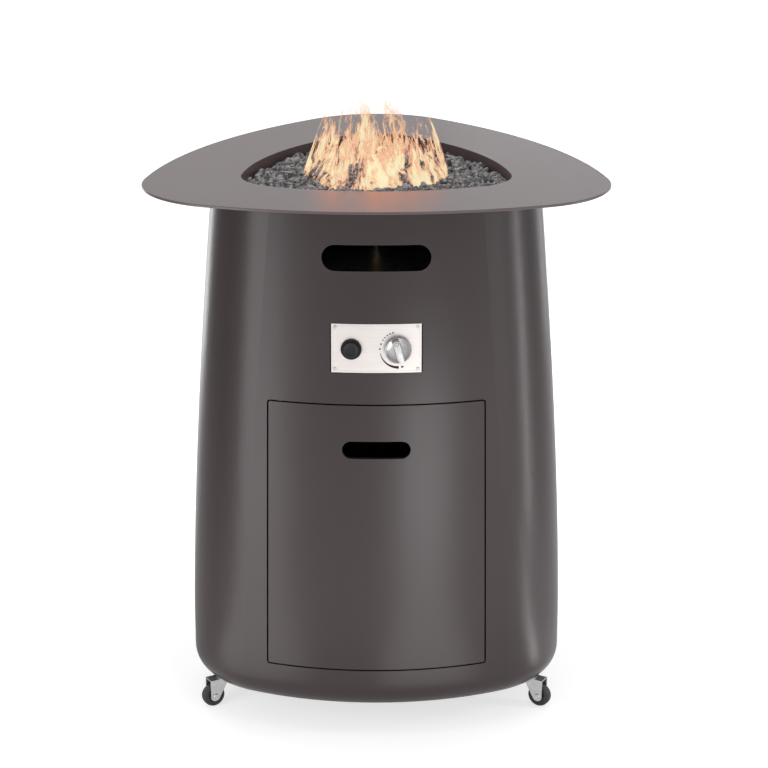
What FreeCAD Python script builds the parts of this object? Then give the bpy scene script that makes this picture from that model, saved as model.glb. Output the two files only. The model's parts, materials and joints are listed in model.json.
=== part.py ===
import FreeCAD, Part
import os
from math import acos, atan2, cos, pi, radians, sin, sqrt, tan

Vector = FreeCAD.Vector
UP = Vector(0, 0, 1)

# Gas fire pit table on three casters. Millimetres, +Z up, front towards -Y, floor at z = 0.
# Everything is laid out about the axis of the three-fold plan, then moved in Y at export so
# that the middle of the outline stands over the origin.

# Table top: a plate whose plan is a triangle with bowed sides and round corners
OVERALL_HEIGHT = 1052.0
TOP_THICKNESS = 5.0
TOP_APOTHEM = 376.0
TOP_SPREAD = 288.0
TOP_CORNER_R = 187.5
TOP_EDGE_CHAMFER = 1.0

# Fire opening in the top, with a collar folded down round it
OPENING_APOTHEM = 220.0
OPENING_SPREAD = 186.0
OPENING_CORNER_R = 94.0
COLLAR_THICKNESS = 2.0
COLLAR_DEPTH = 28.0

# Cabinet shell: widest near the foot, tapering to the top, rolled in at the rim
RIM_Z = 64.0
BELLY_Z = 160.0
BODY_HALF_WIDTH = 361.5
BODY_TAPER = 51.8
TAPER_POWER = 1.57
FOOT_ROLL_R = 50.0
FOOT_ROLL_IN = 18.4
APOTHEM_SHARE_TOP = 0.864
APOTHEM_SHARE_RIM = 0.905
CORNER_SHARE = 0.517
WALL = 2.0
TOP_FLANGE_WIDTH = 23.0
LOFT_STEPS = 14
LOFT_CROWDING = 2.2

# Air slot above the control panel
AIR_SLOT_LENGTH = 201.0
AIR_SLOT_HEIGHT = 48.5
AIR_SLOT_Z = OVERALL_HEIGHT - 111.5

# Door: outer edge of the leaf, slightly wider at the foot as the cabinet is
DOOR_BOTTOM_Z = 140.5
DOOR_TOP_Z = OVERALL_HEIGHT - 388.5
DOOR_HALF_BOTTOM = 207.8
DOOR_HALF_TOP = 201.2
DOOR_CORNER_R = 3.0
DOOR_GAP = 3.0
DOOR_SHEET = 1.5
DOOR_SIDE_DEPTH = 14.0
DOOR_END_DEPTH = 27.0
PULL_LENGTH = 128.0
PULL_HEIGHT = 33.5
PULL_Z = DOOR_TOP_Z - 85.2
PULL_LIP_DEPTH = 9.0

# Door hinge: two pins on one line that leans back with the cabinet
HINGE_INSET = 24.0
HINGE_SETBACK = 6.0
PIN_R = 3.0
RUNNING_GAP = 0.05
BUSH_WALL = 2.0
PIN_ENGAGE = 11.0
WASHER_R = 7.0
SEAT_GAP = 0.3

# Door frame welded behind the door opening
FRAME_SHEET = 2.0
FRAME_DEPTH = 28.0
STOP_SETBACK = 18.0
STOP_WIDTH = 40.0
MAGNET_WIDTH = 18.0
MAGNET_HEIGHT = 46.0
MAGNET_INSET = 21.0
MAGNET_FROM_END = 60.0

# Control panel
PANEL_WIDTH = 166.5
PANEL_HEIGHT = 91.5
PANEL_Z = OVERALL_HEIGHT - 279.5
PANEL_SIDE_GAP = 2.5
PANEL_END_GAP = 1.0
BACKPLATE_SHEET = 1.5
BACKPLATE_OVERLAP = 14.0
PANEL_SCREW_INSET = 6.5
SCREW_R = 1.5
SCREW_HEAD_R = 3.2
SCREW_HEAD = 1.6

# Gas valve, stem and knob
KNOB_X = 39.9
KNOB_Z = PANEL_Z - 2.1
KNOB_R = 25.0
KNOB_STANDOFF = 4.5
KNOB_SKIRT = 5.0
KNOB_GRIP_LENGTH = 45.0
KNOB_GRIP_WIDTH = 14.0
KNOB_GRIP_HEIGHT = 13.0
KNOB_LEAN = 16.0
STEM_R = 4.0
STEM_REACH = 15.0
STEM_DEPTH = 24.0
STEM_HOLE_R = 6.5
PRESS_TRAVEL = 3.0
VALVE_R = 12.0
VALVE_LENGTH = 34.0
VALVE_PORT_R = 6.5
VALVE_PORT_REACH = 26.0

# Igniter
IGNITER_X = -46.4
IGNITER_Z = PANEL_Z - 1.1
IGNITER_BEZEL_R = 19.4
IGNITER_BEZEL = 4.7
IGNITER_FLOOR = 1.2
IGNITER_BARREL_R = 11.0
IGNITER_BARREL_LENGTH = 46.0
IGNITER_CAP_R = 14.5
IGNITER_CAP_PROUD = 3.6
IGNITER_PLUNGER_R = 4.0
IGNITER_NUT_R = 16.0
IGNITER_NUT = 6.0
CAP_GAP = 0.1

# Burner box
PAN_CLEARANCE = 4.0
PAN_SHEET = 1.5
PAN_FLANGE = 14.5
PAN_DEPTH = 70.0

# Ring burner on its hub
BURNER_RING_R = 112.0
BURNER_TUBE_R = 9.5
TUBE_SIDES = 12
BURNER_RISE = 17.0
HUB_R = 17.0
NIPPLE_R = 8.0
NIPPLE_DROP = 16.0
PORT_R = 1.3
PORT_COUNT = 24
FEED_COUNT = 3
LOCKNUT_R = 15.0
LOCKNUT_HEIGHT = 6.0

# Lava rock bed
ROCK_TOP_DROP = 21.0
ROCK_EDGE_GAP = 0.6
STONE_PITCH = 52.0
STONE_ROW_PITCH = 45.24
STONE_SHIFT = 7.0
STONE_R = 33.0
STONE_R_VARIETY = 0.12
STONE_HEIGHT = 16.0
STONE_TAPER = 0.62
STONE_SKEW = 0.25
STONE_CORNER_TURN = 38.0
STONE_TURN = 137.5
STONE_RISE = 9.0
STONE_LEAN = 13.0
STONE_SINK = 3.0

# Gas feed from the valve to the burner
MIXER_R = 12.0
MIXER_LENGTH = 46.0
MIXER_WINDOW_WIDTH = 7.0
MIXER_WINDOW_HEIGHT = 14.0
PIPE_R = 4.0
PIPE_BEND_R = 22.0
PIPE_SHELF_Z = OVERALL_HEIGHT - 178.0
FITTING_R = 8.0
FITTING_LENGTH = 12.0

# Heat shield under the burner box
SHIELD_Z = OVERALL_HEIGHT - 160.0
SHIELD_SHEET = 1.2
SHIELD_LIP = 16.0

# Base plate with the ring that holds the gas bottle's foot
BASE_LIFT = 2.0
BASE_SHEET = 2.5
BASE_LIP = 26.0
BOTTLE_RING_R = 110.0
BOTTLE_RING_WALL = 3.0
BOTTLE_RING_HEIGHT = 20.0
VENT_R = 14.0
VENT_CIRCLE_R = 205.0
VENT_COUNT = 9

# Studs and nuts that hold the cabinet and the burner box to the top
STUD_R = 3.0
STUD_LENGTH = 14.0
STUD_HOLE_GAP = 0.3
NUT_ACROSS = 10.0
NUT_HEIGHT = 5.0
STUD_TURN = 18.0

# Casters
CASTER_PIVOT_R = 349.4
CASTER_TRAIL = 24.0
WHEEL_R = 22.5
WHEEL_WIDTH = 17.0
TYRE_DEPTH = 5.5
AXLE_R = 3.0
AXLE_HEAD_R = 5.5
AXLE_HEAD = 3.0
FORK_SHEET = 2.0
FORK_SIDE_GAP = 1.6
FORK_TOP_Z = 57.5
FORK_HEEL = 16.0
FORK_EAR_R = 10.0
CASTER_STEM_R = 5.0
CASTER_STEM_RISE = 24.0
KING_HEAD_R = 8.0
KING_HEAD = 2.6
RACE_R = 15.0
CASTER_NUT_ACROSS = 16.0
CASTER_NUT_HEIGHT = 8.0
CASTERS = {"front_left": 210.0, "front_right": 330.0, "rear": 90.0}

BODY_TOP_Z = OVERALL_HEIGHT - TOP_THICKNESS
FAR = 600.0
Y_SHIFT = (TOP_APOTHEM - TOP_SPREAD - TOP_CORNER_R) / 2.0


# Plan outline and cabinet form

def rounded_triangle(apothem, spread, corner_r, z):
    """Closed wire: three bowed sides and three round corners, tangent all the way round."""
    a = spread * sin(pi / 3)
    b = spread / 2
    side_r = (corner_r ** 2 - a * a - (b - apothem) ** 2) / (2 * (b - apothem) + 2 * corner_r)
    centre_y = side_r - apothem
    half = atan2(a, centre_y + b)
    edges = []
    for turn in range(3):
        rotation = FreeCAD.Rotation(UP, 120 * turn)
        side = [Vector(side_r * sin(t), centre_y - side_r * cos(t), z) for t in (-half, 0, half)]
        corner = [Vector(a + corner_r * sin(t), -b - corner_r * cos(t), z)
                  for t in (half, pi / 3, 2 * pi / 3 - half)]
        for points in (side, corner):
            edges.append(Part.Arc(*[rotation.multVec(p) for p in points]).toShape())
    return Part.Wire(edges)


def slab(apothem, spread, corner_r, z_low, z_high, grow=0.0):
    """Flat rounded triangle from z_low to z_high, its outline grown by the given margin."""
    wire = rounded_triangle(apothem + grow, spread, corner_r + grow, z_low)
    return Part.Face(wire).extrude(Vector(0, 0, z_high - z_low))


def opening_slab(z_low, z_high, grow=0.0):
    return slab(OPENING_APOTHEM, OPENING_SPREAD, OPENING_CORNER_R, z_low, z_high, grow)


def foot_height():
    return sqrt(FOOT_ROLL_R ** 2 - (FOOT_ROLL_R - FOOT_ROLL_IN) ** 2)


def half_width(z):
    """Half of the cabinet's width at a height."""
    roll_top = RIM_Z + foot_height()
    if z < roll_top:
        return BODY_HALF_WIDTH - FOOT_ROLL_R + sqrt(FOOT_ROLL_R ** 2 - (roll_top - z) ** 2)
    if z < BELLY_Z:
        return BODY_HALF_WIDTH
    rise = (z - BELLY_Z) / (OVERALL_HEIGHT - BELLY_Z)
    return BODY_HALF_WIDTH - BODY_TAPER * rise ** TAPER_POWER


def section(z):
    """Apothem, corner spread and corner radius of the cabinet's plan at a height."""
    width = half_width(z)
    level = (z - RIM_Z) / (OVERALL_HEIGHT - RIM_Z)
    apothem = width * (APOTHEM_SHARE_RIM + (APOTHEM_SHARE_TOP - APOTHEM_SHARE_RIM) * level)
    corner_r = width * CORNER_SHARE
    return apothem, (width - corner_r) / sin(pi / 3), corner_r


def front_y(x, z):
    """Y of the cabinet's front face at a place across it and a height."""
    apothem, spread, corner_r = section(z)
    a = spread * sin(pi / 3)
    b = spread / 2
    side_r = (corner_r ** 2 - a * a - (b - apothem) ** 2) / (2 * (b - apothem) + 2 * corner_r)
    return side_r - apothem - sqrt(side_r ** 2 - x * x)


def skin_frame(x, z):
    """Point on the front face and the outward normal there."""
    step = 1.0
    across = (front_y(x + step, z) - front_y(x - step, z)) / (2 * step)
    along = (front_y(x, z + step) - front_y(x, z - step)) / (2 * step)
    normal = Vector(across, -1, along)
    normal.normalize()
    return Vector(x, front_y(x, z), z), normal


def body_core(inset):
    """The cabinet's solid form, its outline moved in by the inset at every height."""
    count = LOFT_STEPS
    levels = [RIM_Z + (BODY_TOP_Z - RIM_Z) * (k / count) ** LOFT_CROWDING for k in range(count + 1)]
    wires = []
    for z in levels:
        apothem, spread, corner_r = section(z)
        wires.append(rounded_triangle(apothem - inset, spread, corner_r - inset, z))
    return Part.makeLoft(wires, True, False)


CORES = {}


def core(inset):
    if inset not in CORES:
        CORES[inset] = body_core(inset)
    return CORES[inset]


def layer(outer_inset, inner_inset):
    """Skin of the cabinet's form between two insets."""
    return core(outer_inset).cut(core(inner_inset))


def level_band(z_low, z_high):
    return Part.makeBox(2 * FAR, 2 * FAR, z_high - z_low, Vector(-FAR, -FAR, z_low))


# Cutters that run along Y through the front of the cabinet

def front_prism(points, corner_r):
    """Prism through the front face with the given outline in X and Z."""
    corners = [Vector(x, -FAR, z) for x, z in points]
    face = Part.Face(Part.makePolygon(corners + corners[:1]))
    solid = face.extrude(Vector(0, FAR, 0))
    if corner_r <= 0:
        return solid
    long_edges = [e for e in solid.Edges if abs(e.BoundBox.YLength - FAR) < 1]
    return solid.makeFillet(corner_r, long_edges)


def front_block(x, z, width, height, corner_r=0.0):
    w = width / 2
    h = height / 2
    return front_prism([(x - w, z - h), (x + w, z - h), (x + w, z + h), (x - w, z + h)], corner_r)


def stadium(z, length, height):
    """Slot with round ends through the front face, centred on x = 0."""
    r = height / 2
    run = length / 2 - r
    left = Part.makeCylinder(r, FAR, Vector(-run, -FAR, z), Vector(0, 1, 0))
    right = Part.makeCylinder(r, FAR, Vector(run, -FAR, z), Vector(0, 1, 0))
    return left.fuse([right, front_block(0, z, 2 * run, height)]).removeSplitter()


def door_prism(grow):
    """Prism of the door's outline, grown on all four sides."""
    lean = (DOOR_HALF_BOTTOM - DOOR_HALF_TOP) / (DOOR_TOP_Z - DOOR_BOTTOM_Z)
    low = DOOR_HALF_BOTTOM + grow + lean * grow
    high = DOOR_HALF_TOP + grow - lean * grow
    z0 = DOOR_BOTTOM_Z - grow
    z1 = DOOR_TOP_Z + grow
    corner_r = max(DOOR_CORNER_R + grow, 0)
    return front_prism([(-low, z0), (low, z0), (high, z1), (-high, z1)], corner_r)


# Placing pieces on the front face and on sloping lines

def aim(shape, point, direction):
    """Turn a shape built along +Z to a direction and set its origin on a point."""
    turned = shape.copy()
    turned.Placement = FreeCAD.Placement(point, FreeCAD.Rotation(UP, direction))
    return turned


def disc(r, z_low, z_high, x=0.0, y=0.0):
    return Part.makeCylinder(r, z_high - z_low, Vector(x, y, z_low))


def tube(outer_r, inner_r, z_low, z_high):
    return disc(outer_r, z_low, z_high).cut(disc(inner_r, z_low - 1, z_high + 1))


def hexagon(across, z_low, z_high):
    """Hexagonal prism on the Z axis."""
    r = across / 2 / cos(pi / 6)
    corners = [Vector(r * cos(k * pi / 3), r * sin(k * pi / 3), z_low) for k in range(7)]
    return Part.Face(Part.makePolygon(corners)).extrude(Vector(0, 0, z_high - z_low))


def around(shape, count, first=0.0):
    """Copies of a shape in a ring about the axis of the plan."""
    copies = []
    for k in range(count):
        turned = shape.copy()
        turned.rotate(Vector(0, 0, 0), UP, first + 360.0 * k / count)
        copies.append(turned)
    return copies


# Stud places: two to each bowed side, on a circle of their own for each flange

def stud_places(apothem):
    """Six places near the middle of the three sides, at a distance from the axis."""
    places = []
    for side in range(3):
        for turn in (-STUD_TURN, STUD_TURN):
            angle = radians(-90 + 120 * side + turn)
            reach = apothem / cos(radians(turn)) * side_bow(apothem, turn)
            places.append(Vector(reach * cos(angle), reach * sin(angle), 0))
    return places


def side_bow(apothem, turn):
    """Share by which a bowed side lies inside its straight tangent at a turn from its middle."""
    side_r = apothem * 3
    x = apothem * tan(radians(turn))
    return 1 - (side_r - sqrt(side_r ** 2 - x * x)) / apothem


def body_stud_places():
    apothem = section(BODY_TOP_Z)[0] - WALL - TOP_FLANGE_WIDTH / 2
    return stud_places(apothem)


def pan_stud_places():
    return stud_places(OPENING_APOTHEM + PAN_CLEARANCE + PAN_SHEET + PAN_FLANGE / 2)


def stud_holes(places, z_low, z_high):
    return [disc(STUD_R + STUD_HOLE_GAP, z_low, z_high, p.x, p.y) for p in places]


def flange_nuts(places, z_seat):
    nut = hexagon(NUT_ACROSS, -NUT_HEIGHT, 0).cut(disc(STUD_R, -NUT_HEIGHT - 1, 1))
    nuts = []
    for place in places:
        copy = nut.copy()
        copy.translate(Vector(place.x, place.y, z_seat))
        nuts.append(copy)
    return Part.makeCompound(nuts)


# Top and burner box

def table_top():
    plate = slab(TOP_APOTHEM, TOP_SPREAD, TOP_CORNER_R, BODY_TOP_Z, OVERALL_HEIGHT)
    rims = [e for e in plate.Edges if e.BoundBox.ZLength < 0.01]
    plate = plate.makeChamfer(TOP_EDGE_CHAMFER, rims)
    collar_foot = OVERALL_HEIGHT - COLLAR_DEPTH
    collar = opening_slab(collar_foot, BODY_TOP_Z, COLLAR_THICKNESS)
    studs = []
    for place in body_stud_places() + pan_stud_places():
        studs.append(disc(STUD_R, BODY_TOP_Z - STUD_LENGTH, BODY_TOP_Z, place.x, place.y))
    blank = plate.fuse([collar] + studs)
    return blank.cut(opening_slab(collar_foot - 1, OVERALL_HEIGHT + 1))


def pan_floor_z():
    return BODY_TOP_Z - PAN_DEPTH


def burner_pan():
    outer = opening_slab(pan_floor_z(), BODY_TOP_Z, PAN_CLEARANCE + PAN_SHEET)
    inner = opening_slab(pan_floor_z() + PAN_SHEET, BODY_TOP_Z + 1, PAN_CLEARANCE)
    flange = opening_slab(BODY_TOP_Z - PAN_SHEET, BODY_TOP_Z, PAN_CLEARANCE + PAN_SHEET + PAN_FLANGE)
    pan = outer.fuse(flange).cut(inner)
    holes = stud_holes(pan_stud_places(), BODY_TOP_Z - PAN_SHEET - 1, BODY_TOP_Z + 1)
    holes.append(disc(NIPPLE_R + STUD_HOLE_GAP, pan_floor_z() - 1, pan_floor_z() + PAN_SHEET + 1))
    return pan.cut(holes)


def burner_ring_z():
    return pan_floor_z() + PAN_SHEET + BURNER_RISE


def burner():
    """Ring of many-sided tube with a flat top for its ports, three feed spokes, hub and nipple."""
    z = burner_ring_z()
    tube_r = BURNER_TUBE_R / cos(pi / TUBE_SIDES)
    turns = [pi * (2 * k + 1) / TUBE_SIDES for k in range(TUBE_SIDES + 1)]
    outline = [Vector(BURNER_RING_R + tube_r * cos(t), 0, z + tube_r * sin(t)) for t in turns]
    ring = Part.Face(Part.makePolygon(outline)).revolve(Vector(0, 0, 0), UP, 360)
    hub = disc(HUB_R, pan_floor_z() + PAN_SHEET, z + BURNER_TUBE_R)
    nipple = disc(NIPPLE_R, pan_floor_z() - NIPPLE_DROP, pan_floor_z() + PAN_SHEET + 1)
    feed = Part.makeCylinder(BURNER_TUBE_R - 1.5, BURNER_RING_R, Vector(0, 0, z), Vector(0, 1, 0))
    body = hub.fuse([nipple, ring] + around(feed, FEED_COUNT))
    port = disc(PORT_R, z + BURNER_TUBE_R - 3, z + BURNER_TUBE_R + 1, BURNER_RING_R)
    return body.cut(around(port, PORT_COUNT, 180.0 / PORT_COUNT))


def burner_locknut():
    top = pan_floor_z()
    nut = hexagon(2 * LOCKNUT_R, top - LOCKNUT_HEIGHT, top)
    return nut.cut(disc(NIPPLE_R, top - LOCKNUT_HEIGHT - 1, top + 1))


def lava_rock():
    """Bed of broken rock: a flat layer with the tops of its larger stones standing out of it."""
    low = burner_ring_z() + BURNER_TUBE_R + SEAT_GAP
    high = OVERALL_HEIGHT - ROCK_TOP_DROP
    bed = opening_slab(low, high - STONE_RISE, -ROCK_EDGE_GAP)
    rows = int(OPENING_APOTHEM * 2 / STONE_PITCH)
    stones = []
    for row in range(-rows, rows + 1):
        for place in range(-rows, rows + 1):
            count = row * (2 * rows + 1) + place
            x = STONE_PITCH * (place + 0.5 * (row % 2)) + STONE_SHIFT * sin(2.3 * count)
            y = STONE_ROW_PITCH * row + STONE_SHIFT * cos(3.1 * count)
            middle = Vector(x, y, high)
            if bed.isInside(Vector(x, y, low + 1), 0.1, True):
                stones.append(stone(middle, count))
    heap = bed.fuse(stones)
    return heap.common(opening_slab(low, high, -ROCK_EDGE_GAP))


def stone(top, count):
    """Broken stone with sloping sides and a leaning top, its highest corner at a point's level.

    The waves of its number make each stone a little different from its neighbours.
    """
    half = STONE_R * (1 + STONE_R_VARIETY * sin(1.7 * count))
    depth = half * (0.86 + 0.1 * sin(2.1 * count))
    block = tapered_block(half, depth, STONE_HEIGHT, STONE_SKEW * sin(4.3 * count))
    other = tapered_block(half, half * 0.95, STONE_HEIGHT + 1, STONE_SKEW * cos(1.9 * count))
    other.rotate(Vector(0, 0, 0), UP, STONE_CORNER_TURN + 8 * sin(count))
    block = block.common(other)
    block.rotate(Vector(0, 0, 0), Vector(1, 0, 0), STONE_LEAN * (0.6 + 0.4 * sin(2.9 * count)))
    block.rotate(Vector(0, 0, 0), UP, STONE_TURN * count)
    block.translate(Vector(top.x, top.y, top.z - block.BoundBox.ZMax - STONE_SINK * (1 + sin(1.3 * count)) / 2))
    return block


def tapered_block(half_x, half_y, height, skew):
    """Four-sided block, narrower at its top, which lies to one side by a share of its width."""
    low_x, high_x = half_x * (skew - STONE_TAPER), half_x * (skew + STONE_TAPER)
    low_y, high_y = half_y * (-skew - STONE_TAPER), half_y * (STONE_TAPER - skew)
    block = Part.makeWedge(-half_x, 0, -half_y, low_y, low_x, half_x, height, half_y, high_y, high_x)
    block.rotate(Vector(0, 0, 0), Vector(1, 0, 0), 90)
    return block


# Gas feed

def mixer_top_z():
    return pan_floor_z() - LOCKNUT_HEIGHT - 2


def mixer_foot_z():
    return mixer_top_z() - MIXER_LENGTH


def mixer_tube():
    body = tube(MIXER_R, NIPPLE_R, mixer_foot_z(), mixer_top_z())
    window_z = mixer_foot_z() + MIXER_LENGTH / 2 - MIXER_WINDOW_HEIGHT
    window = Part.makeBox(2 * MIXER_R, MIXER_WINDOW_WIDTH, MIXER_WINDOW_HEIGHT,
                          Vector(0, -MIXER_WINDOW_WIDTH / 2, window_z))
    return body.cut(around(window, 4))


def valve_frame():
    return skin_frame(KNOB_X, KNOB_Z)


def outlet_point():
    """Top of the valve's outlet port."""
    point, normal = valve_frame()
    centre = point - normal * (WALL + BACKPLATE_SHEET + SEAT_GAP + VALVE_LENGTH / 2)
    return centre + outlet_direction() * VALVE_PORT_REACH


def outlet_direction():
    """The valve's ports run up and down the cabinet's slope."""
    normal = valve_frame()[1]
    return FreeCAD.Rotation(UP, normal).multVec(Vector(0, 1, 0))


def bend_path(points, bend_r):
    """Straight runs joined by tangent arcs."""
    edges = []
    start = points[0]
    for here, corner, after in zip(points, points[1:], points[2:]):
        into = (corner - here).normalize()
        out = (after - corner).normalize()
        turn = into.getAngle(out)
        trim = bend_r * tan(turn / 2)
        first = corner - into * trim
        last = corner + out * trim
        centre_way = (out - into).normalize()
        middle = corner + centre_way * (bend_r / cos(turn / 2) - bend_r)
        edges.append(Part.LineSegment(start, first).toShape())
        edges.append(Part.Arc(first, middle, last).toShape())
        start = last
    edges.append(Part.LineSegment(start, points[-1]).toShape())
    return Part.Wire(edges)


def gas_pipe():
    foot = Vector(0, 0, mixer_foot_z() - FITTING_LENGTH)
    port = outlet_point() + outlet_direction() * FITTING_LENGTH
    up = port + outlet_direction() * ((PIPE_SHELF_Z - port.z) / outlet_direction().z)
    points = [foot, Vector(0, 0, PIPE_SHELF_Z), up, port]
    path = bend_path(points, PIPE_BEND_R)
    ring = Part.Wire(Part.makeCircle(PIPE_R, foot, Vector(0, 0, -1)))
    return path.makePipeShell([ring], True, False)


def pipe_fittings():
    """Nuts that join the pipe to the mixer tube and to the valve."""
    upper = hexagon(2 * FITTING_R, -FITTING_LENGTH, 0).fuse(disc(NIPPLE_R, 0, FITTING_LENGTH / 2))
    upper.translate(Vector(0, 0, mixer_foot_z()))
    lower = aim(hexagon(2 * FITTING_R, 0, FITTING_LENGTH), outlet_point(), outlet_direction())
    return Part.makeCompound([upper, lower])


def control_valve():
    """Brass valve body behind the panel, with its outlet above and its hose inlet below."""
    front = -(WALL + BACKPLATE_SHEET + SEAT_GAP)
    back = front - VALVE_LENGTH
    body = disc(VALVE_R, back, front)
    flange = disc(VALVE_R + 3, front - 3, front)
    port = Part.makeCylinder(VALVE_PORT_R, 2 * VALVE_PORT_REACH,
                             Vector(0, -VALVE_PORT_REACH, (front + back) / 2), Vector(0, 1, 0))
    bore = disc(STEM_R + RUNNING_GAP, -STEM_DEPTH - PRESS_TRAVEL - 2, front + 1)
    return aim(body.fuse([flange, port]).cut(bore), *valve_frame())


def valve_stem():
    return aim(disc(STEM_R, -STEM_DEPTH, STEM_REACH), *valve_frame())


def knob():
    """Round skirt with a raised grip bar across it."""
    low = KNOB_STANDOFF
    rim = low + KNOB_SKIRT
    profile = [Vector(0, 0, low), Vector(KNOB_R - 1, 0, low), Vector(KNOB_R, 0, low + 1),
               Vector(KNOB_R, 0, rim - 1.5), Vector(KNOB_R - 1.5, 0, rim),
               Vector(KNOB_R * 0.45, 0, rim - 1.2), Vector(0, 0, rim - 1.2)]
    skirt = Part.Face(Part.makePolygon(profile + profile[:1])).revolve(Vector(0, 0, 0), UP, 360)
    top = rim + KNOB_GRIP_HEIGHT
    foot = grip_outline(KNOB_GRIP_LENGTH, KNOB_GRIP_WIDTH, rim - 2)
    waist = grip_outline(KNOB_GRIP_LENGTH - 3, KNOB_GRIP_WIDTH - 3.5, rim + 3)
    head = grip_outline(KNOB_GRIP_LENGTH - 5, KNOB_GRIP_WIDTH - 4.5, top)
    grip = Part.makeLoft([foot, waist, head], True, True)
    grip.rotate(Vector(0, 0, 0), UP, KNOB_LEAN)
    bore = disc(STEM_R + RUNNING_GAP, low - 1, STEM_REACH + SEAT_GAP)
    return aim(skirt.fuse(grip).cut(bore), *valve_frame())


def grip_outline(length, width, z):
    """Stadium outline along Y at a height."""
    r = width / 2
    run = length / 2 - r
    right = Part.LineSegment(Vector(r, -run, z), Vector(r, run, z)).toShape()
    top = Part.Arc(Vector(r, run, z), Vector(0, run + r, z), Vector(-r, run, z)).toShape()
    left = Part.LineSegment(Vector(-r, run, z), Vector(-r, -run, z)).toShape()
    foot = Part.Arc(Vector(-r, -run, z), Vector(0, -run - r, z), Vector(r, -run, z)).toShape()
    return Part.Wire([right, top, left, foot])


# Igniter

def igniter_frame():
    return skin_frame(IGNITER_X, IGNITER_Z)


def igniter_body():
    """Bezel in front of the panel and the battery barrel behind it."""
    bezel = disc(IGNITER_BEZEL_R, SEAT_GAP, IGNITER_BEZEL)
    bezel = bezel.makeChamfer(1.0, [e for e in bezel.Edges if e.BoundBox.ZMin > IGNITER_BEZEL - 0.01])
    barrel = disc(IGNITER_BARREL_R, -IGNITER_BARREL_LENGTH, SEAT_GAP + 1)
    recess = disc(IGNITER_CAP_R + CAP_GAP, IGNITER_FLOOR, IGNITER_BEZEL + 1)
    bore = disc(IGNITER_PLUNGER_R + RUNNING_GAP, -IGNITER_BARREL_LENGTH + 8, IGNITER_BEZEL)
    return aim(bezel.fuse(barrel).cut([recess, bore]), *igniter_frame())


def igniter_button():
    low = IGNITER_FLOOR + PRESS_TRAVEL + SEAT_GAP
    cap = disc(IGNITER_CAP_R, low, IGNITER_BEZEL + IGNITER_CAP_PROUD)
    top = [e for e in cap.Edges if e.BoundBox.ZMin > IGNITER_BEZEL + IGNITER_CAP_PROUD - 0.01]
    cap = cap.makeChamfer(1.2, top)
    plunger = disc(IGNITER_PLUNGER_R, -IGNITER_BARREL_LENGTH + 8 + PRESS_TRAVEL + 2, low + 1)
    return aim(cap.fuse(plunger), *igniter_frame())


def igniter_nut():
    front = -(WALL + BACKPLATE_SHEET + SEAT_GAP)
    nut = hexagon(2 * IGNITER_NUT_R * cos(pi / 6), front - IGNITER_NUT, front)
    return aim(nut.cut(disc(IGNITER_BARREL_R, front - IGNITER_NUT - 1, front + 1)), *igniter_frame())


def spark_electrode():
    """Ceramic electrode on a bracket beside the burner ring."""
    base_z = pan_floor_z() + PAN_SHEET
    reach = BURNER_RING_R + BURNER_TUBE_R + 9
    bracket = Part.makeBox(14, 12, 1.5, Vector(-7, -reach - 6, base_z))
    ceramic = disc(3.2, base_z + 1.5, base_z + 20, 0, -reach)
    rod = disc(1.0, base_z + 20, base_z + 26, 0, -reach)
    return bracket.fuse([ceramic, rod])


# Cabinet

def body_shell():
    shell = layer(0, WALL)
    apothem, spread, corner_r = section(BODY_TOP_Z)
    flange = core(WALL / 2).common(level_band(BODY_TOP_Z - WALL, BODY_TOP_Z))
    reach = WALL + TOP_FLANGE_WIDTH
    window = slab(apothem, spread, corner_r, BODY_TOP_Z - WALL - 1, BODY_TOP_Z + 1, -reach)
    shell = shell.fuse(flange.cut(window))
    cutters = [door_prism(DOOR_GAP), stadium(AIR_SLOT_Z, AIR_SLOT_LENGTH, AIR_SLOT_HEIGHT),
               panel_cutout()]
    cutters += stud_holes(body_stud_places(), BODY_TOP_Z - WALL - 1, BODY_TOP_Z + 1)
    return shell.cut(cutters)


def panel_cutout():
    width = PANEL_WIDTH + 2 * PANEL_SIDE_GAP
    height = PANEL_HEIGHT + 2 * PANEL_END_GAP
    return front_block(0, PANEL_Z, width, height, 2.0)


def door_frame():
    """Jambs, header and sill behind the door opening, and the strip that the door closes on."""
    band = door_prism(DOOR_GAP + FRAME_SHEET).cut(door_prism(DOOR_GAP))
    frame = layer(WALL, FRAME_DEPTH).common(band)
    strip = layer(STOP_SETBACK, STOP_SETBACK + FRAME_SHEET).common(door_prism(DOOR_GAP + 0.5))
    side = Part.makeBox(FAR, FAR, 2 * FAR, Vector(DOOR_HALF_TOP - STOP_WIDTH, -FAR, 0))
    frame = frame.fuse(strip.common(side))
    return frame.cut(hinge_line_solid(PIN_R, -DOOR_GAP - FRAME_SHEET - 5, DOOR_GAP + FRAME_SHEET + 5))


def magnet_catches():
    """Two magnet blocks on the strip, just behind the door's skin."""
    x = DOOR_HALF_TOP - MAGNET_INSET - MAGNET_WIDTH / 2
    blocks = []
    for z in (DOOR_BOTTOM_Z + MAGNET_FROM_END, DOOR_TOP_Z - MAGNET_FROM_END):
        blocks.append(front_block(x, z, MAGNET_WIDTH, MAGNET_HEIGHT))
    return layer(WALL + SEAT_GAP, STOP_SETBACK).common(Part.makeCompound(blocks))


def hinge_ends():
    """Points of the hinge line at the door's bottom and top edges."""
    ends = []
    for half, z in ((DOOR_HALF_BOTTOM, DOOR_BOTTOM_Z), (DOOR_HALF_TOP, DOOR_TOP_Z)):
        ends.append(Vector(HINGE_INSET - half, front_y(half, z) + HINGE_SETBACK, z))
    return ends


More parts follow.
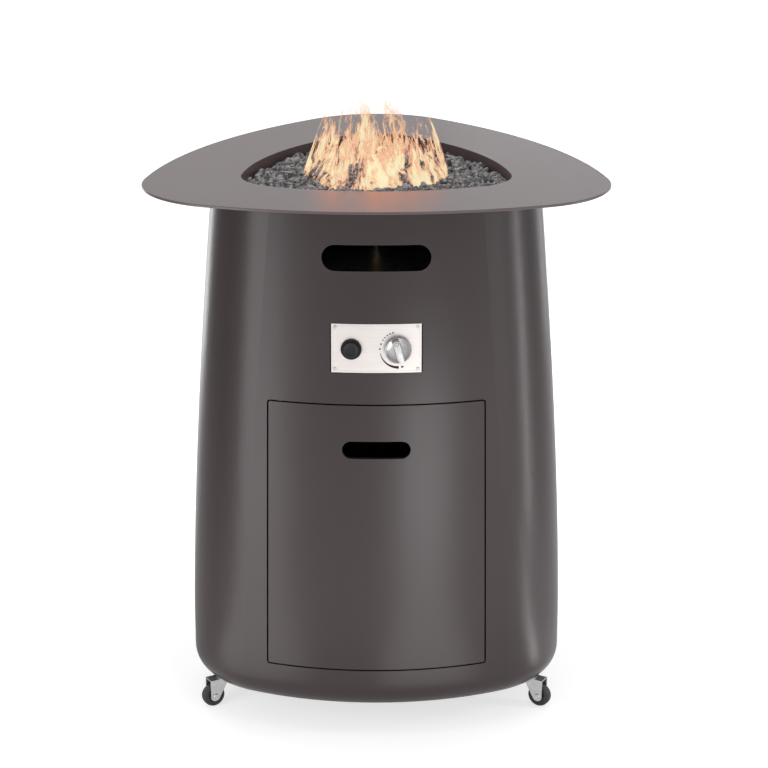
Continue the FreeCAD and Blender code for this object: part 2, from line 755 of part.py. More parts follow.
def hinge_line_solid(r, below, above, inner_below=None, inner_above=None):
    """Round bar on the hinge line, from below the door to above it, or only its two ends."""
    low, high = hinge_ends()
    way = (high - low).normalize()
    span = (high - low).Length
    bar = aim(disc(r, below, span + above), low, way)
    if inner_below is None:
        return bar
    return bar.cut(aim(disc(r + 1, inner_below, span - inner_above), low, way))


def hinge_pins():
    """Upper and lower pin, each headed outside the frame, the lower with a washer."""
    outside = DOOR_GAP + FRAME_SHEET
    pins = hinge_line_solid(PIN_R, -outside - 1, outside + 1, PIN_ENGAGE, PIN_ENGAGE)
    heads = hinge_line_solid(PIN_R + 2.5, -outside - 3, outside + 3, -outside - 0.3, -outside - 0.3)
    low, high = hinge_ends()
    washer = aim(disc(WASHER_R, -DOOR_GAP + 0.3, -SEAT_GAP), low, (high - low).normalize())
    return pins.fuse([heads, washer])


def hinge_bushes():
    """Nylon bushes in the door's top and bottom returns."""
    outer = hinge_line_solid(PIN_R + RUNNING_GAP + BUSH_WALL, -0.05, 0.05, PIN_ENGAGE - 2, PIN_ENGAGE - 2)
    return outer.cut(hinge_line_solid(PIN_R + RUNNING_GAP, -1, 1))


def door_panel():
    """Curved leaf with returns on all four edges and a lipped pull slot."""
    leaf = layer(0, DOOR_SHEET).common(door_prism(0))
    rim = door_prism(0).cut(door_prism(-DOOR_SHEET))
    sides = layer(DOOR_SHEET, DOOR_SIDE_DEPTH).common(rim)
    ends = layer(DOOR_SHEET, DOOR_END_DEPTH).common(rim)
    middle = Part.makeBox(2 * FAR, 2 * FAR, DOOR_TOP_Z - DOOR_BOTTOM_Z - 2 * DOOR_SHEET,
                          Vector(-FAR, -FAR, DOOR_BOTTOM_Z + DOOR_SHEET))
    ends = ends.cut(middle)
    ends = ends.cut(Part.makeBox(FAR, FAR, 2 * FAR, Vector(DOOR_HALF_TOP - STOP_WIDTH - 4, -FAR, 0)))
    ends = ends.cut(hinge_corner_cutter())
    lip = stadium(PULL_Z, PULL_LENGTH + 2 * DOOR_SHEET, PULL_HEIGHT + 2 * DOOR_SHEET)
    lip = layer(DOOR_SHEET, PULL_LIP_DEPTH).common(lip)
    door = leaf.fuse([sides, ends, lip])
    bush_r = PIN_R + RUNNING_GAP + BUSH_WALL
    return door.cut([stadium(PULL_Z, PULL_LENGTH, PULL_HEIGHT), hinge_line_solid(bush_r, -1, 1)])


def hinge_corner_cutter():
    """Takes off the corners of the end returns that would sweep into the jamb."""
    low, high = hinge_ends()
    swing_r = HINGE_INSET + 1.2
    block = Part.makeBox(FAR, FAR, 2 * FAR, Vector(low.x - FAR, -FAR, 0))
    keep = hinge_line_solid(swing_r, -2, 2)
    skin = core(0).cut(core(DOOR_SIDE_DEPTH - 0.5))
    return block.cut([keep, skin])


# Control panel pieces

def panel_piece(outer_inset, inner_inset, width, height, corner_r):
    piece = layer(outer_inset, inner_inset).common(front_block(0, PANEL_Z, width, height, corner_r))
    holes = [aim(disc(STEM_HOLE_R, -20, 20), *valve_frame()),
             aim(disc(IGNITER_BARREL_R, -20, 20), *igniter_frame())]
    holes += [aim(disc(SCREW_R, -20, 20), *place) for place in panel_screw_frames()]
    return piece.cut(holes)


def panel_screw_frames():
    frames = []
    for side in (-1, 1):
        for end in (-1, 1):
            x = side * (PANEL_WIDTH / 2 - PANEL_SCREW_INSET)
            z = PANEL_Z + end * (PANEL_HEIGHT / 2 - PANEL_SCREW_INSET)
            frames.append(skin_frame(x, z))
    return frames


def control_plate():
    return panel_piece(0, WALL, PANEL_WIDTH, PANEL_HEIGHT, 1.0)


def panel_backplate():
    width = PANEL_WIDTH + 2 * BACKPLATE_OVERLAP
    height = PANEL_HEIGHT + 2 * BACKPLATE_OVERLAP
    return panel_piece(WALL, WALL + BACKPLATE_SHEET, width, height, 3.0)


def panel_screws():
    head = disc(SCREW_HEAD_R, 0.1, SCREW_HEAD)
    head = head.makeChamfer(0.5, [e for e in head.Edges if e.BoundBox.ZMin > SCREW_HEAD - 0.01])
    recess = Part.makeBox(1, 4, 1, Vector(-0.5, -2, SCREW_HEAD - 0.6))
    cross = Part.makeBox(4, 1, 1, Vector(-2, -0.5, SCREW_HEAD - 0.6))
    screw = head.fuse(disc(SCREW_R, -WALL - BACKPLATE_SHEET - 2, 0.5)).cut([recess, cross])
    return Part.makeCompound([aim(screw, *place) for place in panel_screw_frames()])


# Heat shield and base

def heat_shield():
    high = SHIELD_Z + SHIELD_LIP
    tray = core(WALL + SEAT_GAP).common(level_band(SHIELD_Z, high))
    hollow = core(WALL + SEAT_GAP + SHIELD_SHEET).common(level_band(SHIELD_Z + SHIELD_SHEET, high + 1))
    notch = disc(PIPE_R + 2, SHIELD_Z - 1, SHIELD_Z + SHIELD_SHEET + 1)
    return tray.cut([hollow, notch])


def base_z():
    return RIM_Z + BASE_LIFT


def base_plate():
    """Flat plate with an upturned lip, its outline just inside the cabinet's wall at that height."""
    outline = section(base_z())
    inset = WALL + SEAT_GAP
    tray = slab(*outline, base_z(), base_z() + BASE_LIP, -inset)
    hollow = slab(*outline, base_z() + BASE_SHEET, base_z() + BASE_LIP + 1, -inset - BASE_SHEET)
    holes = around(disc(VENT_R, base_z() - 1, base_z() + BASE_SHEET + 1, VENT_CIRCLE_R), VENT_COUNT)
    stem_hole = disc(CASTER_STEM_R, base_z() - 1, base_z() + BASE_SHEET + 1, CASTER_PIVOT_R)
    for angle in CASTERS.values():
        copy = stem_hole.copy()
        copy.rotate(Vector(0, 0, 0), UP, angle)
        holes.append(copy)
    return tray.cut([hollow] + holes)


def bottle_ring():
    low = base_z() + BASE_SHEET
    return tube(BOTTLE_RING_R + BOTTLE_RING_WALL, BOTTLE_RING_R, low, low + BOTTLE_RING_HEIGHT)


# Casters, each built with its pivot on the Z axis and its wheel trailing along +X

def fork_half_width():
    return WHEEL_WIDTH / 2 + FORK_SIDE_GAP + FORK_SHEET


def caster_stem():
    """Race, king pin with its head under the fork, and the threaded stem above."""
    head_top = FORK_TOP_Z - FORK_SHEET - SEAT_GAP
    race = disc(RACE_R, FORK_TOP_Z + SEAT_GAP, base_z())
    stem = disc(CASTER_STEM_R, head_top, base_z() + CASTER_STEM_RISE)
    return race.fuse([stem, disc(KING_HEAD_R, head_top - KING_HEAD, head_top)])


def caster_nut():
    low = base_z() + BASE_SHEET
    nut = hexagon(CASTER_NUT_ACROSS, low, low + CASTER_NUT_HEIGHT)
    return nut.cut(disc(CASTER_STEM_R, low - 1, low + CASTER_NUT_HEIGHT + 1))


def caster_fork():
    half = fork_half_width()
    nose = CASTER_TRAIL + FORK_EAR_R
    crown = disc(FORK_HEEL, FORK_TOP_Z - FORK_SHEET, FORK_TOP_Z)
    run = Part.makeBox(nose, 2 * half, FORK_SHEET, Vector(0, -half, FORK_TOP_Z - FORK_SHEET))
    body = crown.fuse([run, fork_leg(-half), fork_leg(half - FORK_SHEET)])
    axle_bore = Part.makeCylinder(AXLE_R, 4 * half, Vector(CASTER_TRAIL, -2 * half, WHEEL_R),
                                  Vector(0, 1, 0))
    return body.cut([disc(CASTER_STEM_R + RUNNING_GAP, 0, FORK_TOP_Z + 1), axle_bore])


def fork_leg(y):
    """Side of the fork: upright at the nose, round at the axle, slanting in to the heel."""
    heel = Vector(-FORK_HEEL / 2, y, FORK_TOP_Z)
    axle = Vector(CASTER_TRAIL, y, WHEEL_R)
    away = heel - axle
    angle = atan2(away.z, away.x) + acos(FORK_EAR_R / away.Length)

    def on_ear(t):
        return axle + Vector(FORK_EAR_R * cos(t), 0, FORK_EAR_R * sin(t))

    tangent = on_ear(angle)
    side = on_ear(2 * pi)
    corner = Vector(side.x, y, FORK_TOP_Z)
    edges = [Part.LineSegment(heel, tangent).toShape(),
             Part.Arc(tangent, on_ear((angle + 2 * pi) / 2), side).toShape(),
             Part.LineSegment(side, corner).toShape(),
             Part.LineSegment(corner, heel).toShape()]
    return Part.Face(Part.Wire(edges)).extrude(Vector(0, FORK_SHEET, 0))


def along_axle(shape):
    """Lay a shape built along Z on the wheel's axle line."""
    return aim(shape, Vector(CASTER_TRAIL, 0, WHEEL_R), Vector(0, 1, 0))


def caster_axle():
    half = fork_half_width()
    bolt = disc(AXLE_R, -half - AXLE_HEAD, half + AXLE_HEAD)
    head = disc(AXLE_HEAD_R, half, half + AXLE_HEAD)
    head = head.makeChamfer(1.0, [e for e in head.Edges if e.BoundBox.ZMin > half + AXLE_HEAD - 0.01])
    nut = hexagon(2 * AXLE_HEAD_R - 1, -half - AXLE_HEAD, -half)
    return along_axle(bolt.fuse([head, nut]))


def caster_wheel():
    """Wheel body with a hub that nearly fills the fork."""
    r = WHEEL_R - TYRE_DEPTH
    w = WHEEL_WIDTH / 2
    hub = disc(AXLE_R + 4, -w - FORK_SIDE_GAP + SEAT_GAP, w + FORK_SIDE_GAP - SEAT_GAP)
    rim = disc(r, -w + 1, w - 1)
    dish = tube(r - 3, AXLE_R + 4, w - 4, w)
    far_dish = tube(r - 3, AXLE_R + 4, -w, -w + 4)
    body = rim.fuse(hub).cut([dish, far_dish, disc(AXLE_R + RUNNING_GAP, -2 * w, 2 * w)])
    return along_axle(body)


def caster_tyre():
    """Tyre with a crowned tread."""
    w = WHEEL_WIDTH / 2
    r = WHEEL_R
    half = [(r - TYRE_DEPTH, w), (r - 3.4, w), (r - 1.2, w - 1.3), (r, w - 4)]
    profile = [Vector(x, 0, z) for x, z in half] + [Vector(x, 0, -z) for x, z in reversed(half)]
    band = Part.Face(Part.makePolygon(profile + profile[:1])).revolve(Vector(0, 0, 0), UP, 360)
    return along_axle(band)


def at_caster(shape, angle):
    """Move a caster piece out to its place, trailing away from the middle."""
    placed = shape.copy()
    placed.translate(Vector(CASTER_PIVOT_R, 0, 0))
    placed.rotate(Vector(0, 0, 0), UP, angle)
    return placed


# All the pieces by name

def pieces():
    parts = {
        "table_top": table_top(),
        "burner_pan": burner_pan(),
        "burner": burner(),
        "burner_locknut": burner_locknut(),
        "lava_rock": lava_rock(),
        "spark_electrode": spark_electrode(),
        "mixer_tube": mixer_tube(),
        "gas_pipe": gas_pipe(),
        "pipe_fittings": pipe_fittings(),
        "control_valve": control_valve(),
        "valve_stem": valve_stem(),
        "knob": knob(),
        "igniter_body": igniter_body(),
        "igniter_button": igniter_button(),
        "igniter_nut": igniter_nut(),
        "control_plate": control_plate(),
        "panel_backplate": panel_backplate(),
        "panel_screws": panel_screws(),
        "body_shell": body_shell(),
        "door_frame": door_frame(),
        "magnet_catches": magnet_catches(),
        "hinge_pins": hinge_pins(),
        "hinge_bushes": hinge_bushes(),
        "door_panel": door_panel(),
        "heat_shield": heat_shield(),
        "base_plate": base_plate(),
        "bottle_ring": bottle_ring(),
        "table_top_nuts": flange_nuts(body_stud_places(), BODY_TOP_Z - WALL),
        "burner_pan_nuts": flange_nuts(pan_stud_places(), BODY_TOP_Z - PAN_SHEET),
        "caster_nuts": Part.makeCompound([at_caster(caster_nut(), a) for a in CASTERS.values()]),
    }
    caster = {"stem": caster_stem(), "fork": caster_fork(), "axle": caster_axle(),
              "wheel": caster_wheel(), "tyre": caster_tyre()}
    for place, angle in CASTERS.items():
        for name, shape in caster.items():
            parts["caster_" + place + "_" + name] = at_caster(shape, angle)
    return parts


os.makedirs("parts", exist_ok=True)
for node, shape in pieces().items():
    shape.translate(Vector(0, Y_SHIFT, 0))
    shape.exportStep("parts/" + node + ".step")
    solids = len(shape.Solids)
    print(node, "solids", solids, "valid", shape.isValid(), "volume", round(shape.Volume))
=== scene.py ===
import json
import math
import random

import bmesh
import bpy
from mathutils import Matrix, Vector, noise
from mathutils.bvhtree import BVHTree


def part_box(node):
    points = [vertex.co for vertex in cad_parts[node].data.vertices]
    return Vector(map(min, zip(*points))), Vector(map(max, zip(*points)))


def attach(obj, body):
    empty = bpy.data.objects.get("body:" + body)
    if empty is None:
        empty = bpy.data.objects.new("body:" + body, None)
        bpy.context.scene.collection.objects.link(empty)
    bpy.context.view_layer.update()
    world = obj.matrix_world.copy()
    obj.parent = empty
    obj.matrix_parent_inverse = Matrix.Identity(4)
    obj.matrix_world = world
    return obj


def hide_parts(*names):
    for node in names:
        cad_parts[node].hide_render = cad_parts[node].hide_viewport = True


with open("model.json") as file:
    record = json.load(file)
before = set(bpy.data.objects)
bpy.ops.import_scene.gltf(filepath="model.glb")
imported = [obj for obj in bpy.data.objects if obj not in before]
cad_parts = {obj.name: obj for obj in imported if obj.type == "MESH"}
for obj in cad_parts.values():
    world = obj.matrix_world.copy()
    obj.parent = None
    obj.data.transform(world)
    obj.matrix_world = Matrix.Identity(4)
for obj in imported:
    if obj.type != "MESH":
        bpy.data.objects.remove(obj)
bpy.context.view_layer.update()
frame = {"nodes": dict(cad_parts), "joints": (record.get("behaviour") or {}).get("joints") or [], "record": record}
nodes = frame["nodes"]

# Fire pit table: three-cornered top with a rock bed, tapering cabinet, door, controls, casters.
# Lengths are in metres; turned profiles, the grip bar and the dial's widths are in millimetres.

MM = 0.001
AXIS_Y = (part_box("bottle_ring")[0].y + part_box("bottle_ring")[1].y) / 2
ROCK_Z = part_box("lava_rock")[1].z


# Shader node helpers

def add_node(tree, kind, **settings):
    made = tree.nodes.new(kind)
    for name, value in settings.items():
        setattr(made, name, value)
    return made


def feed(tree, socket, value):
    """Sets a socket to a number or a colour, or links an output to it."""
    if isinstance(value, (int, float, tuple)):
        socket.default_value = value
    else:
        tree.links.new(value, socket)


def noise_texture(tree, vector, scale, detail, roughness=0.5):
    made = add_node(tree, "ShaderNodeTexNoise")
    made.inputs["Scale"].default_value = scale
    made.inputs["Detail"].default_value = detail
    made.inputs["Roughness"].default_value = roughness
    tree.links.new(vector, made.inputs["Vector"])
    return made.outputs["Fac"]


def remap(tree, value, low, high, to_low, to_high):
    """Takes a value from one range to another, and holds it within that."""
    made = add_node(tree, "ShaderNodeMapRange")
    tree.links.new(value, made.inputs["Value"])
    for label, number in (("From Min", low), ("From Max", high), ("To Min", to_low), ("To Max", to_high)):
        made.inputs[label].default_value = number
    return made.outputs["Result"]


def math_node(tree, operation, first, second):
    made = add_node(tree, "ShaderNodeMath", operation=operation)
    for socket, value in zip(made.inputs, (first, second)):
        feed(tree, socket, value)
    return made.outputs["Value"]


def mix_colour(tree, factor, first, second, blend="MIX"):
    made = add_node(tree, "ShaderNodeMix", data_type="RGBA", blend_type=blend)
    feed(tree, made.inputs["Factor"], factor)
    feed(tree, made.inputs[6], first)
    feed(tree, made.inputs[7], second)
    return made.outputs[2]


def mix_shaders(tree, factor, first, second):
    made = add_node(tree, "ShaderNodeMixShader")
    for socket, value in zip(made.inputs, (factor, first, second)):
        tree.links.new(value, socket)
    return made.outputs["Shader"]


def stretched(tree, scale, turn=(0, 0, 0)):
    """Object coordinates stretched along some axes, and turned."""
    place = add_node(tree, "ShaderNodeTexCoord")
    mapping = add_node(tree, "ShaderNodeMapping")
    mapping.inputs["Scale"].default_value = scale
    mapping.inputs["Rotation"].default_value = turn
    tree.links.new(place.outputs["Object"], mapping.inputs["Vector"])
    return mapping.outputs["Vector"]


def separate_z(tree, vector):
    made = add_node(tree, "ShaderNodeSeparateXYZ")
    tree.links.new(vector, made.inputs["Vector"])
    return made.outputs["Z"]


def bump(tree, height, strength, distance):
    made = add_node(tree, "ShaderNodeBump")
    made.inputs["Distance"].default_value = distance
    feed(tree, made.inputs["Strength"], strength)
    tree.links.new(height, made.inputs["Height"])
    return made.outputs["Normal"]


def seen_or_mirrored(tree):
    """1 where the camera sees a surface, or metal and glass show it, and 0 where it only gives light."""
    paths = add_node(tree, "ShaderNodeLightPath").outputs
    shown = math_node(tree, "MAXIMUM", paths["Is Glossy Ray"], paths["Is Transmission Ray"])
    return math_node(tree, "MAXIMUM", paths["Is Camera Ray"], shown)


def new_material(name):
    made = bpy.data.materials.new(name)
    made.use_nodes = True
    return made, made.node_tree, made.node_tree.nodes["Principled BSDF"]


# Effects shared by several finishes

# Turns a fine pattern away from the walls and the top, along which its grid would show as bands
SLANT = (0.7, 0.55, 0.4)


def new_effect(name, *amounts):
    """An empty node group that takes a colour, a gloss and some amounts, with what it takes."""
    group = bpy.data.node_groups.new(name, "ShaderNodeTree")
    group.interface.new_socket("Colour", in_out="INPUT", socket_type="NodeSocketColor")
    for label in ("Gloss",) + amounts:
        group.interface.new_socket(label, in_out="INPUT", socket_type="NodeSocketFloat")
    for label, kind in (("Colour", "Color"), ("Roughness", "Float"), ("Normal", "Vector")):
        group.interface.new_socket(label, in_out="OUTPUT", socket_type="NodeSocket" + kind)
    return group, add_node(group, "NodeGroupInput").outputs


def end_effect(group, given, tone, shift, normal):
    """Gives out the colour times a tone, the gloss plus a shift, and the normal."""
    out = add_node(group, "NodeGroupOutput")
    shade = mix_colour(group, 1.0, given["Colour"], tone, "MULTIPLY")
    gloss = math_node(group, "ADD", given["Gloss"], shift)
    for label, value in (("Colour", shade), ("Roughness", gloss), ("Normal", normal)):
        group.links.new(value, out.inputs[label])
    return group


def build_coat_effect():
    """Powder coat: fine pebbled skin, slow drift of tone and of gloss."""
    group, given = new_effect("powder_coat", "Pebble")
    place = stretched(group, (1, 1, 1), SLANT)
    pebble = noise_texture(group, place, 900, 2)
    drift = noise_texture(group, place, 9, 3)
    speck = noise_texture(group, place, 1300, 1)
    tone = math_node(group, "ADD", remap(group, drift, 0.1, 0.9, 0.96, 1.04),
                     remap(group, speck, 0.2, 0.8, -0.03, 0.03))
    shift = remap(group, drift, 0.1, 0.9, -0.012, 0.012)
    return end_effect(group, given, tone, shift, bump(group, pebble, given["Pebble"], 0.0003))


def build_brush_effect():
    """Brushed metal: long fine scratches along X, in tone, gloss and relief."""
    group, given = new_effect("brushed_metal", "Scratch")
    fine = noise_texture(group, stretched(group, (20, 900, 1800)), 1, 4, 0.65)
    broad = noise_texture(group, stretched(group, (4, 150, 220)), 1, 3)
    tone = math_node(group, "ADD", remap(group, fine, 0.3, 0.7, 0.92, 1.06),
                     remap(group, broad, 0.3, 0.7, -0.03, 0.03))
    shift = remap(group, fine, 0.3, 0.7, -0.07, 0.07)
    return end_effect(group, given, tone, shift, bump(group, fine, given["Scratch"], 0.00005))


def build_cast_effect():
    """Cast, plated or moulded skin: slight unevenness and small marks."""
    group, given = new_effect("cast_skin", "Relief", "Marks")
    place = stretched(group, (1, 1, 1))
    mottle = noise_texture(group, place, 160, 4)
    grain = noise_texture(group, place, 1500, 2)
    spots = math_node(group, "MULTIPLY", remap(group, mottle, 0.3, 0.7, -1, 1), given["Marks"])
    tone = math_node(group, "ADD", spots, 1.0)
    shift = remap(group, mottle, 0.3, 0.7, -0.05, 0.07)
    return end_effect(group, given, tone, shift, bump(group, grain, given["Relief"], 0.0002))


def build_spangle_effect():
    """Zinc plating: crystals of slightly different grey and gloss."""
    group, given = new_effect("zinc_spangle", "Crystal Scale")
    place = stretched(group, (1, 1, 1))
    cells = add_node(group, "ShaderNodeTexVoronoi")
    group.links.new(place, cells.inputs["Vector"])
    group.links.new(given["Crystal Scale"], cells.inputs["Scale"])
    grey = add_node(group, "ShaderNodeSeparateColor")
    group.links.new(cells.outputs["Color"], grey.inputs["Color"])
    tone = remap(group, grey.outputs["Red"], 0, 1, 0.84, 1.1)
    shift = remap(group, grey.outputs["Green"], 0, 1, -0.07, 0.08)
    grain = noise_texture(group, place, 900, 3)
    return end_effect(group, given, tone, shift, bump(group, grain, 0.15, 0.0002))


EFFECTS = {"coat": build_coat_effect(), "brush": build_brush_effect(),
           "cast": build_cast_effect(), "spangle": build_spangle_effect()}


# Finishes

def finish_material(name, effect, colour, gloss, metallic=0.0, sheen=0.5, **amounts):
    """A material whose colour, gloss and relief come from one of the shared effects."""
    made, tree, shader = new_material(name)
    shader.inputs["Metallic"].default_value = metallic
    shader.inputs["Specular IOR Level"].default_value = sheen
    look = add_node(tree, "ShaderNodeGroup", node_tree=EFFECTS[effect])
    look.inputs["Colour"].default_value = colour + (1.0,)
    look.inputs["Gloss"].default_value = gloss
    for label, amount in amounts.items():
        look.inputs[label.replace("_", " ")].default_value = amount
    tree.links.new(look.outputs["Colour"], shader.inputs["Base Color"])
    tree.links.new(look.outputs["Roughness"], shader.inputs["Roughness"])
    tree.links.new(look.outputs["Normal"], shader.inputs["Normal"])
    return made


ROCK_DARK = (0.11, 0.107, 0.11, 1)
ROCK_PALE = (0.50, 0.485, 0.485, 1)
# Painted shade in the rock's pores, and the plain surface between them
PORE_PAINTED_SHADE = (0.25, 0.25, 0.25, 1)
PORE_EDGE = (1.1, 1.1, 1.1, 1)


def build_rock_material():
    """Lava rock: dark grey, pitted with small pores painted darker as shade in their hollows, each face a little
    different.
    """
    made, tree, shader = new_material("lava_rock")
    place = stretched(tree, (1, 1, 1))
    patch = noise_texture(tree, place, 85, 4, 0.6)
    grain = noise_texture(tree, place, 700, 4, 0.7)
    pores = add_node(tree, "ShaderNodeTexVoronoi")
    pores.inputs["Scale"].default_value = 420
    tree.links.new(place, pores.inputs["Vector"])
    pit = remap(tree, pores.outputs["Distance"], 0.1, 0.45, 0, 1)
    shade = mix_colour(tree, remap(tree, patch, 0.4, 0.62, 0, 1), ROCK_DARK, ROCK_PALE)
    # Painted shade: the pores, sunk by the bump below, are multiplied darker
    shade = mix_colour(tree, 0.75, shade, mix_colour(tree, pit, PORE_PAINTED_SHADE, PORE_EDGE), "MULTIPLY")
    relief = math_node(tree, "ADD", pit, math_node(tree, "MULTIPLY", grain, 0.8))
    tree.links.new(shade, shader.inputs["Base Color"])
    tree.links.new(remap(tree, patch, 0.3, 0.7, 0.75, 0.92), shader.inputs["Roughness"])
    tree.links.new(bump(tree, relief, 0.7, 0.0012), shader.inputs["Normal"])
    return made


STRAW = (0.75, 0.6, 0.42, 1)
HEAT_BLUE = (0.34, 0.38, 0.62, 1)


def build_heat_material():
    """Stainless burner tube, straw and blue where the flames heat it."""
    made = finish_material("heat_tinted_steel", "cast", (0.42, 0.38, 0.34), 0.38, 1.0,
                           Relief=0.2, Marks=0.15)
    tree = made.node_tree
    shader = tree.nodes["Principled BSDF"]
    look = next(node for node in tree.nodes if node.type == "GROUP")
    tint = noise_texture(tree, stretched(tree, (1, 1, 1)), 26, 3)
    heated = mix_colour(tree, remap(tree, tint, 0.42, 0.62, 0, 1), STRAW, HEAT_BLUE)
    shade = mix_colour(tree, 0.55, look.outputs["Colour"], heated, "MULTIPLY")
    tree.links.new(shade, shader.inputs["Base Color"])
    return made


# Each slot's effect, colour, gloss, whether it is metal, and what else the effect takes
PAINTS = {
    "coated_steel": ("coat", (0.038, 0.027, 0.028), 0.30, 0.0, dict(sheen=0.32, Pebble=0.1)),
    "door_coat": ("coat", (0.038, 0.027, 0.028), 0.30, 0.0, dict(sheen=0.32, Pebble=0.1)),
    # top_coat is the cabinet's powder coat made about three times lighter, with more sheen, so the top and its
    # collar look lit: painted light
    "top_coat": ("coat", (0.110, 0.080, 0.084), 0.36, 0.0, dict(sheen=0.45, Pebble=0.2)),
    "black_coat": ("coat", (0.02, 0.019, 0.019), 0.6, 0.0, dict(Pebble=0.4)),
    "stainless": ("brush", (0.53, 0.495, 0.48), 0.5, 1.0, dict(Scratch=0.25)),
    "polished_zinc": ("cast", (0.25, 0.245, 0.25), 0.19, 1.0, dict(Relief=0.06, Marks=0.03)),
    "zinc_steel": ("spangle", (0.50, 0.495, 0.50), 0.36, 1.0, dict(Crystal_Scale=700.0)),
    "zinc_sheet": ("spangle", (0.56, 0.57, 0.58), 0.36, 1.0, dict(Crystal_Scale=90.0)),
    "brass": ("cast", (0.72, 0.52, 0.24), 0.34, 1.0, dict(Relief=0.15, Marks=0.06)),
    "black_plastic": ("cast", (0.010, 0.010, 0.011), 0.42, 0.0, dict(sheen=0.25, Relief=0.25, Marks=0.12)),
    "ceramic": ("cast", (0.78, 0.76, 0.71), 0.19, 0.0, dict(Relief=0.05, Marks=0.04)),
    "nylon": ("cast", (0.66, 0.65, 0.6), 0.45, 0.0, dict(Relief=0.15, Marks=0.03)),
    "magnet": ("cast", (0.07, 0.065, 0.062), 0.6, 0.0, dict(Relief=0.6, Marks=0.2)),
    "wheel_plastic": ("cast", (0.022, 0.022, 0.023), 0.42, 0.0, dict(Relief=0.3, Marks=0.12)),
    "wheel_tyre": ("cast", (0.02, 0.019, 0.02), 0.6, 0.0, dict(Relief=0.5, Marks=0.15)),
}

MATERIALS = {"burner_steel": build_heat_material(), "lava_stone": build_rock_material()}
for slot, (effect, colour, gloss, metallic, amounts) in PAINTS.items():
    MATERIALS[slot] = finish_material(slot, effect, colour, gloss, metallic, **amounts)

SATIN_ZINC = finish_material("satin_zinc", "cast", (0.44, 0.43, 0.422), 0.36, 1.0,
                             Relief=0.08, Marks=0.02)
# Darker steel for the engraved line, and as painted shade in the screws' cross recesses
ENGRAVED_AND_RECESS_SHADE_STEEL = finish_material("engraved_and_recess_shade_steel", "brush", (0.37, 0.35, 0.34), 0.45, 1.0, Scratch=0.2)
# Near-black ink for printed marks, also laid as painted shade in the gap round the control plate
INK_AND_GAP_SHADE = finish_material("ink_and_gap_shade", "cast", (0.008, 0.008, 0.008), 0.6, sheen=0.2,
                            Relief=0.1, Marks=0.1)


def dress_nodes():
    """Gives each solid its slot's finish."""
    for part in frame["record"]["subparts"]:
        mesh = nodes[part["node"]].data
        mesh.materials.clear()
        mesh.materials.append(MATERIALS[part["material_slot"]])


# Making and placing pieces

def new_object(name, shape):
    """An object at the origin with a bmesh's shape."""
    mesh = bpy.data.meshes.new(name)
    shape.to_mesh(mesh)
    shape.free()
    made = bpy.data.objects.new(name, mesh)
    bpy.context.scene.collection.objects.link(made)
    return made


def keep_piece(name, shape, slot, body, finish=None, smooth=0, edge=0.0):
    """Turns a bmesh into a piece in its slot's finish that rides on a body."""
    piece = new_object(name, shape)
    piece.data.materials.append(finish or MATERIALS[slot])
    if smooth:
        piece.data.shade_smooth()
        piece.data.set_sharp_from_angle(angle=math.radians(smooth))
    if edge:
        rounding = piece.modifiers.new("rounded_edges", "BEVEL")
        rounding.width = edge
        rounding.segments = 3
        rounding.limit_method = "ANGLE"
        rounding.angle_limit = math.radians(30)
        rounding.harden_normals = True
    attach(piece, body)
    return piece


def thicken(piece, depth):
    """Gives a flat piece its thickness outwards."""
    skin = piece.modifiers.new("skin", "SOLIDIFY")
    skin.thickness = depth
    skin.offset = 1.0


def add_shape(whole, part):
    """Adds one bmesh to another."""
    mesh = bpy.data.meshes.new("part")
    part.to_mesh(mesh)
    part.free()
    whole.from_mesh(mesh)
    bpy.data.meshes.remove(mesh)


def spun(profile, steps):
    """A closed shape of revolution about Z from radius and height points, in millimetres."""
    shape = bmesh.new()
    line = [shape.verts.new((radius, 0, height)) for radius, height in profile]
    for first, second in zip(line, line[1:]):
        shape.edges.new((first, second))
    bmesh.ops.spin(shape, geom=shape.verts[:] + shape.edges[:], cent=(0, 0, 0), axis=(0, 0, 1),
                   dvec=(0, 0, 0), angle=2 * math.pi, steps=steps, use_merge=True)
    bmesh.ops.remove_doubles(shape, verts=shape.verts, dist=1e-4)
    bmesh.ops.recalc_face_normals(shape, faces=shape.faces)
    return shape


def settle(shape, place):
    """Takes a shape from millimetres to its place in the model."""
    bmesh.ops.transform(shape, matrix=place @ Matrix.Scale(MM, 4), verts=shape.verts)
    return shape


def out_of_panel(centre, away):
    """Axes at a point of the front: X to the right, Y up, Z out of the panel."""
    side = Vector((0, 0, 1)).cross(away).normalized()
    turn = Matrix((side, away.cross(side), away)).transposed().to_4x4()
    return Matrix.Translation(centre) @ turn


def joint_named(name):
    return next(joint for joint in frame["joints"] if joint["name"] == name)


def body_of(node):
    bodies = frame["record"]["behaviour"]["bodies"]
    return next(body for body, members in bodies.items() if node in members)


def soften(node, width):
    """The node's own shape with its sharp edges rounded, in place of the node."""
    shape = bmesh.new()
    shape.from_mesh(nodes[node].data)
    bmesh.ops.remove_doubles(shape, verts=shape.verts, dist=1e-6)
    bmesh.ops.dissolve_limit(shape, angle_limit=math.radians(0.4), verts=shape.verts, edges=shape.edges)
    slot = next(part["material_slot"] for part in frame["record"]["subparts"] if part["node"] == node)
    piece = keep_piece(node + "_rounded", shape, slot, body_of(node), smooth=25, edge=width)
    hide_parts(node)


# Lava rock

# Outline of the fire opening: reach of its sides from the axis, and of its corners' centres
OPENING_REACH = 0.220
OPENING_SPREAD = 0.186
OPENING_CORNER = 0.094

ROCK_SEED = 5
ROCK_KINDS = 14
ROCK_SIZE = 0.0085
ROCK_STEP = 0.0125
ROCK_SHAKE = 0.005
ROCK_BOB = 0.003
LAYER_RISE = 0.008
BED_SWELL = 0.006
BED_REACH = 0.28
PATCH = 60

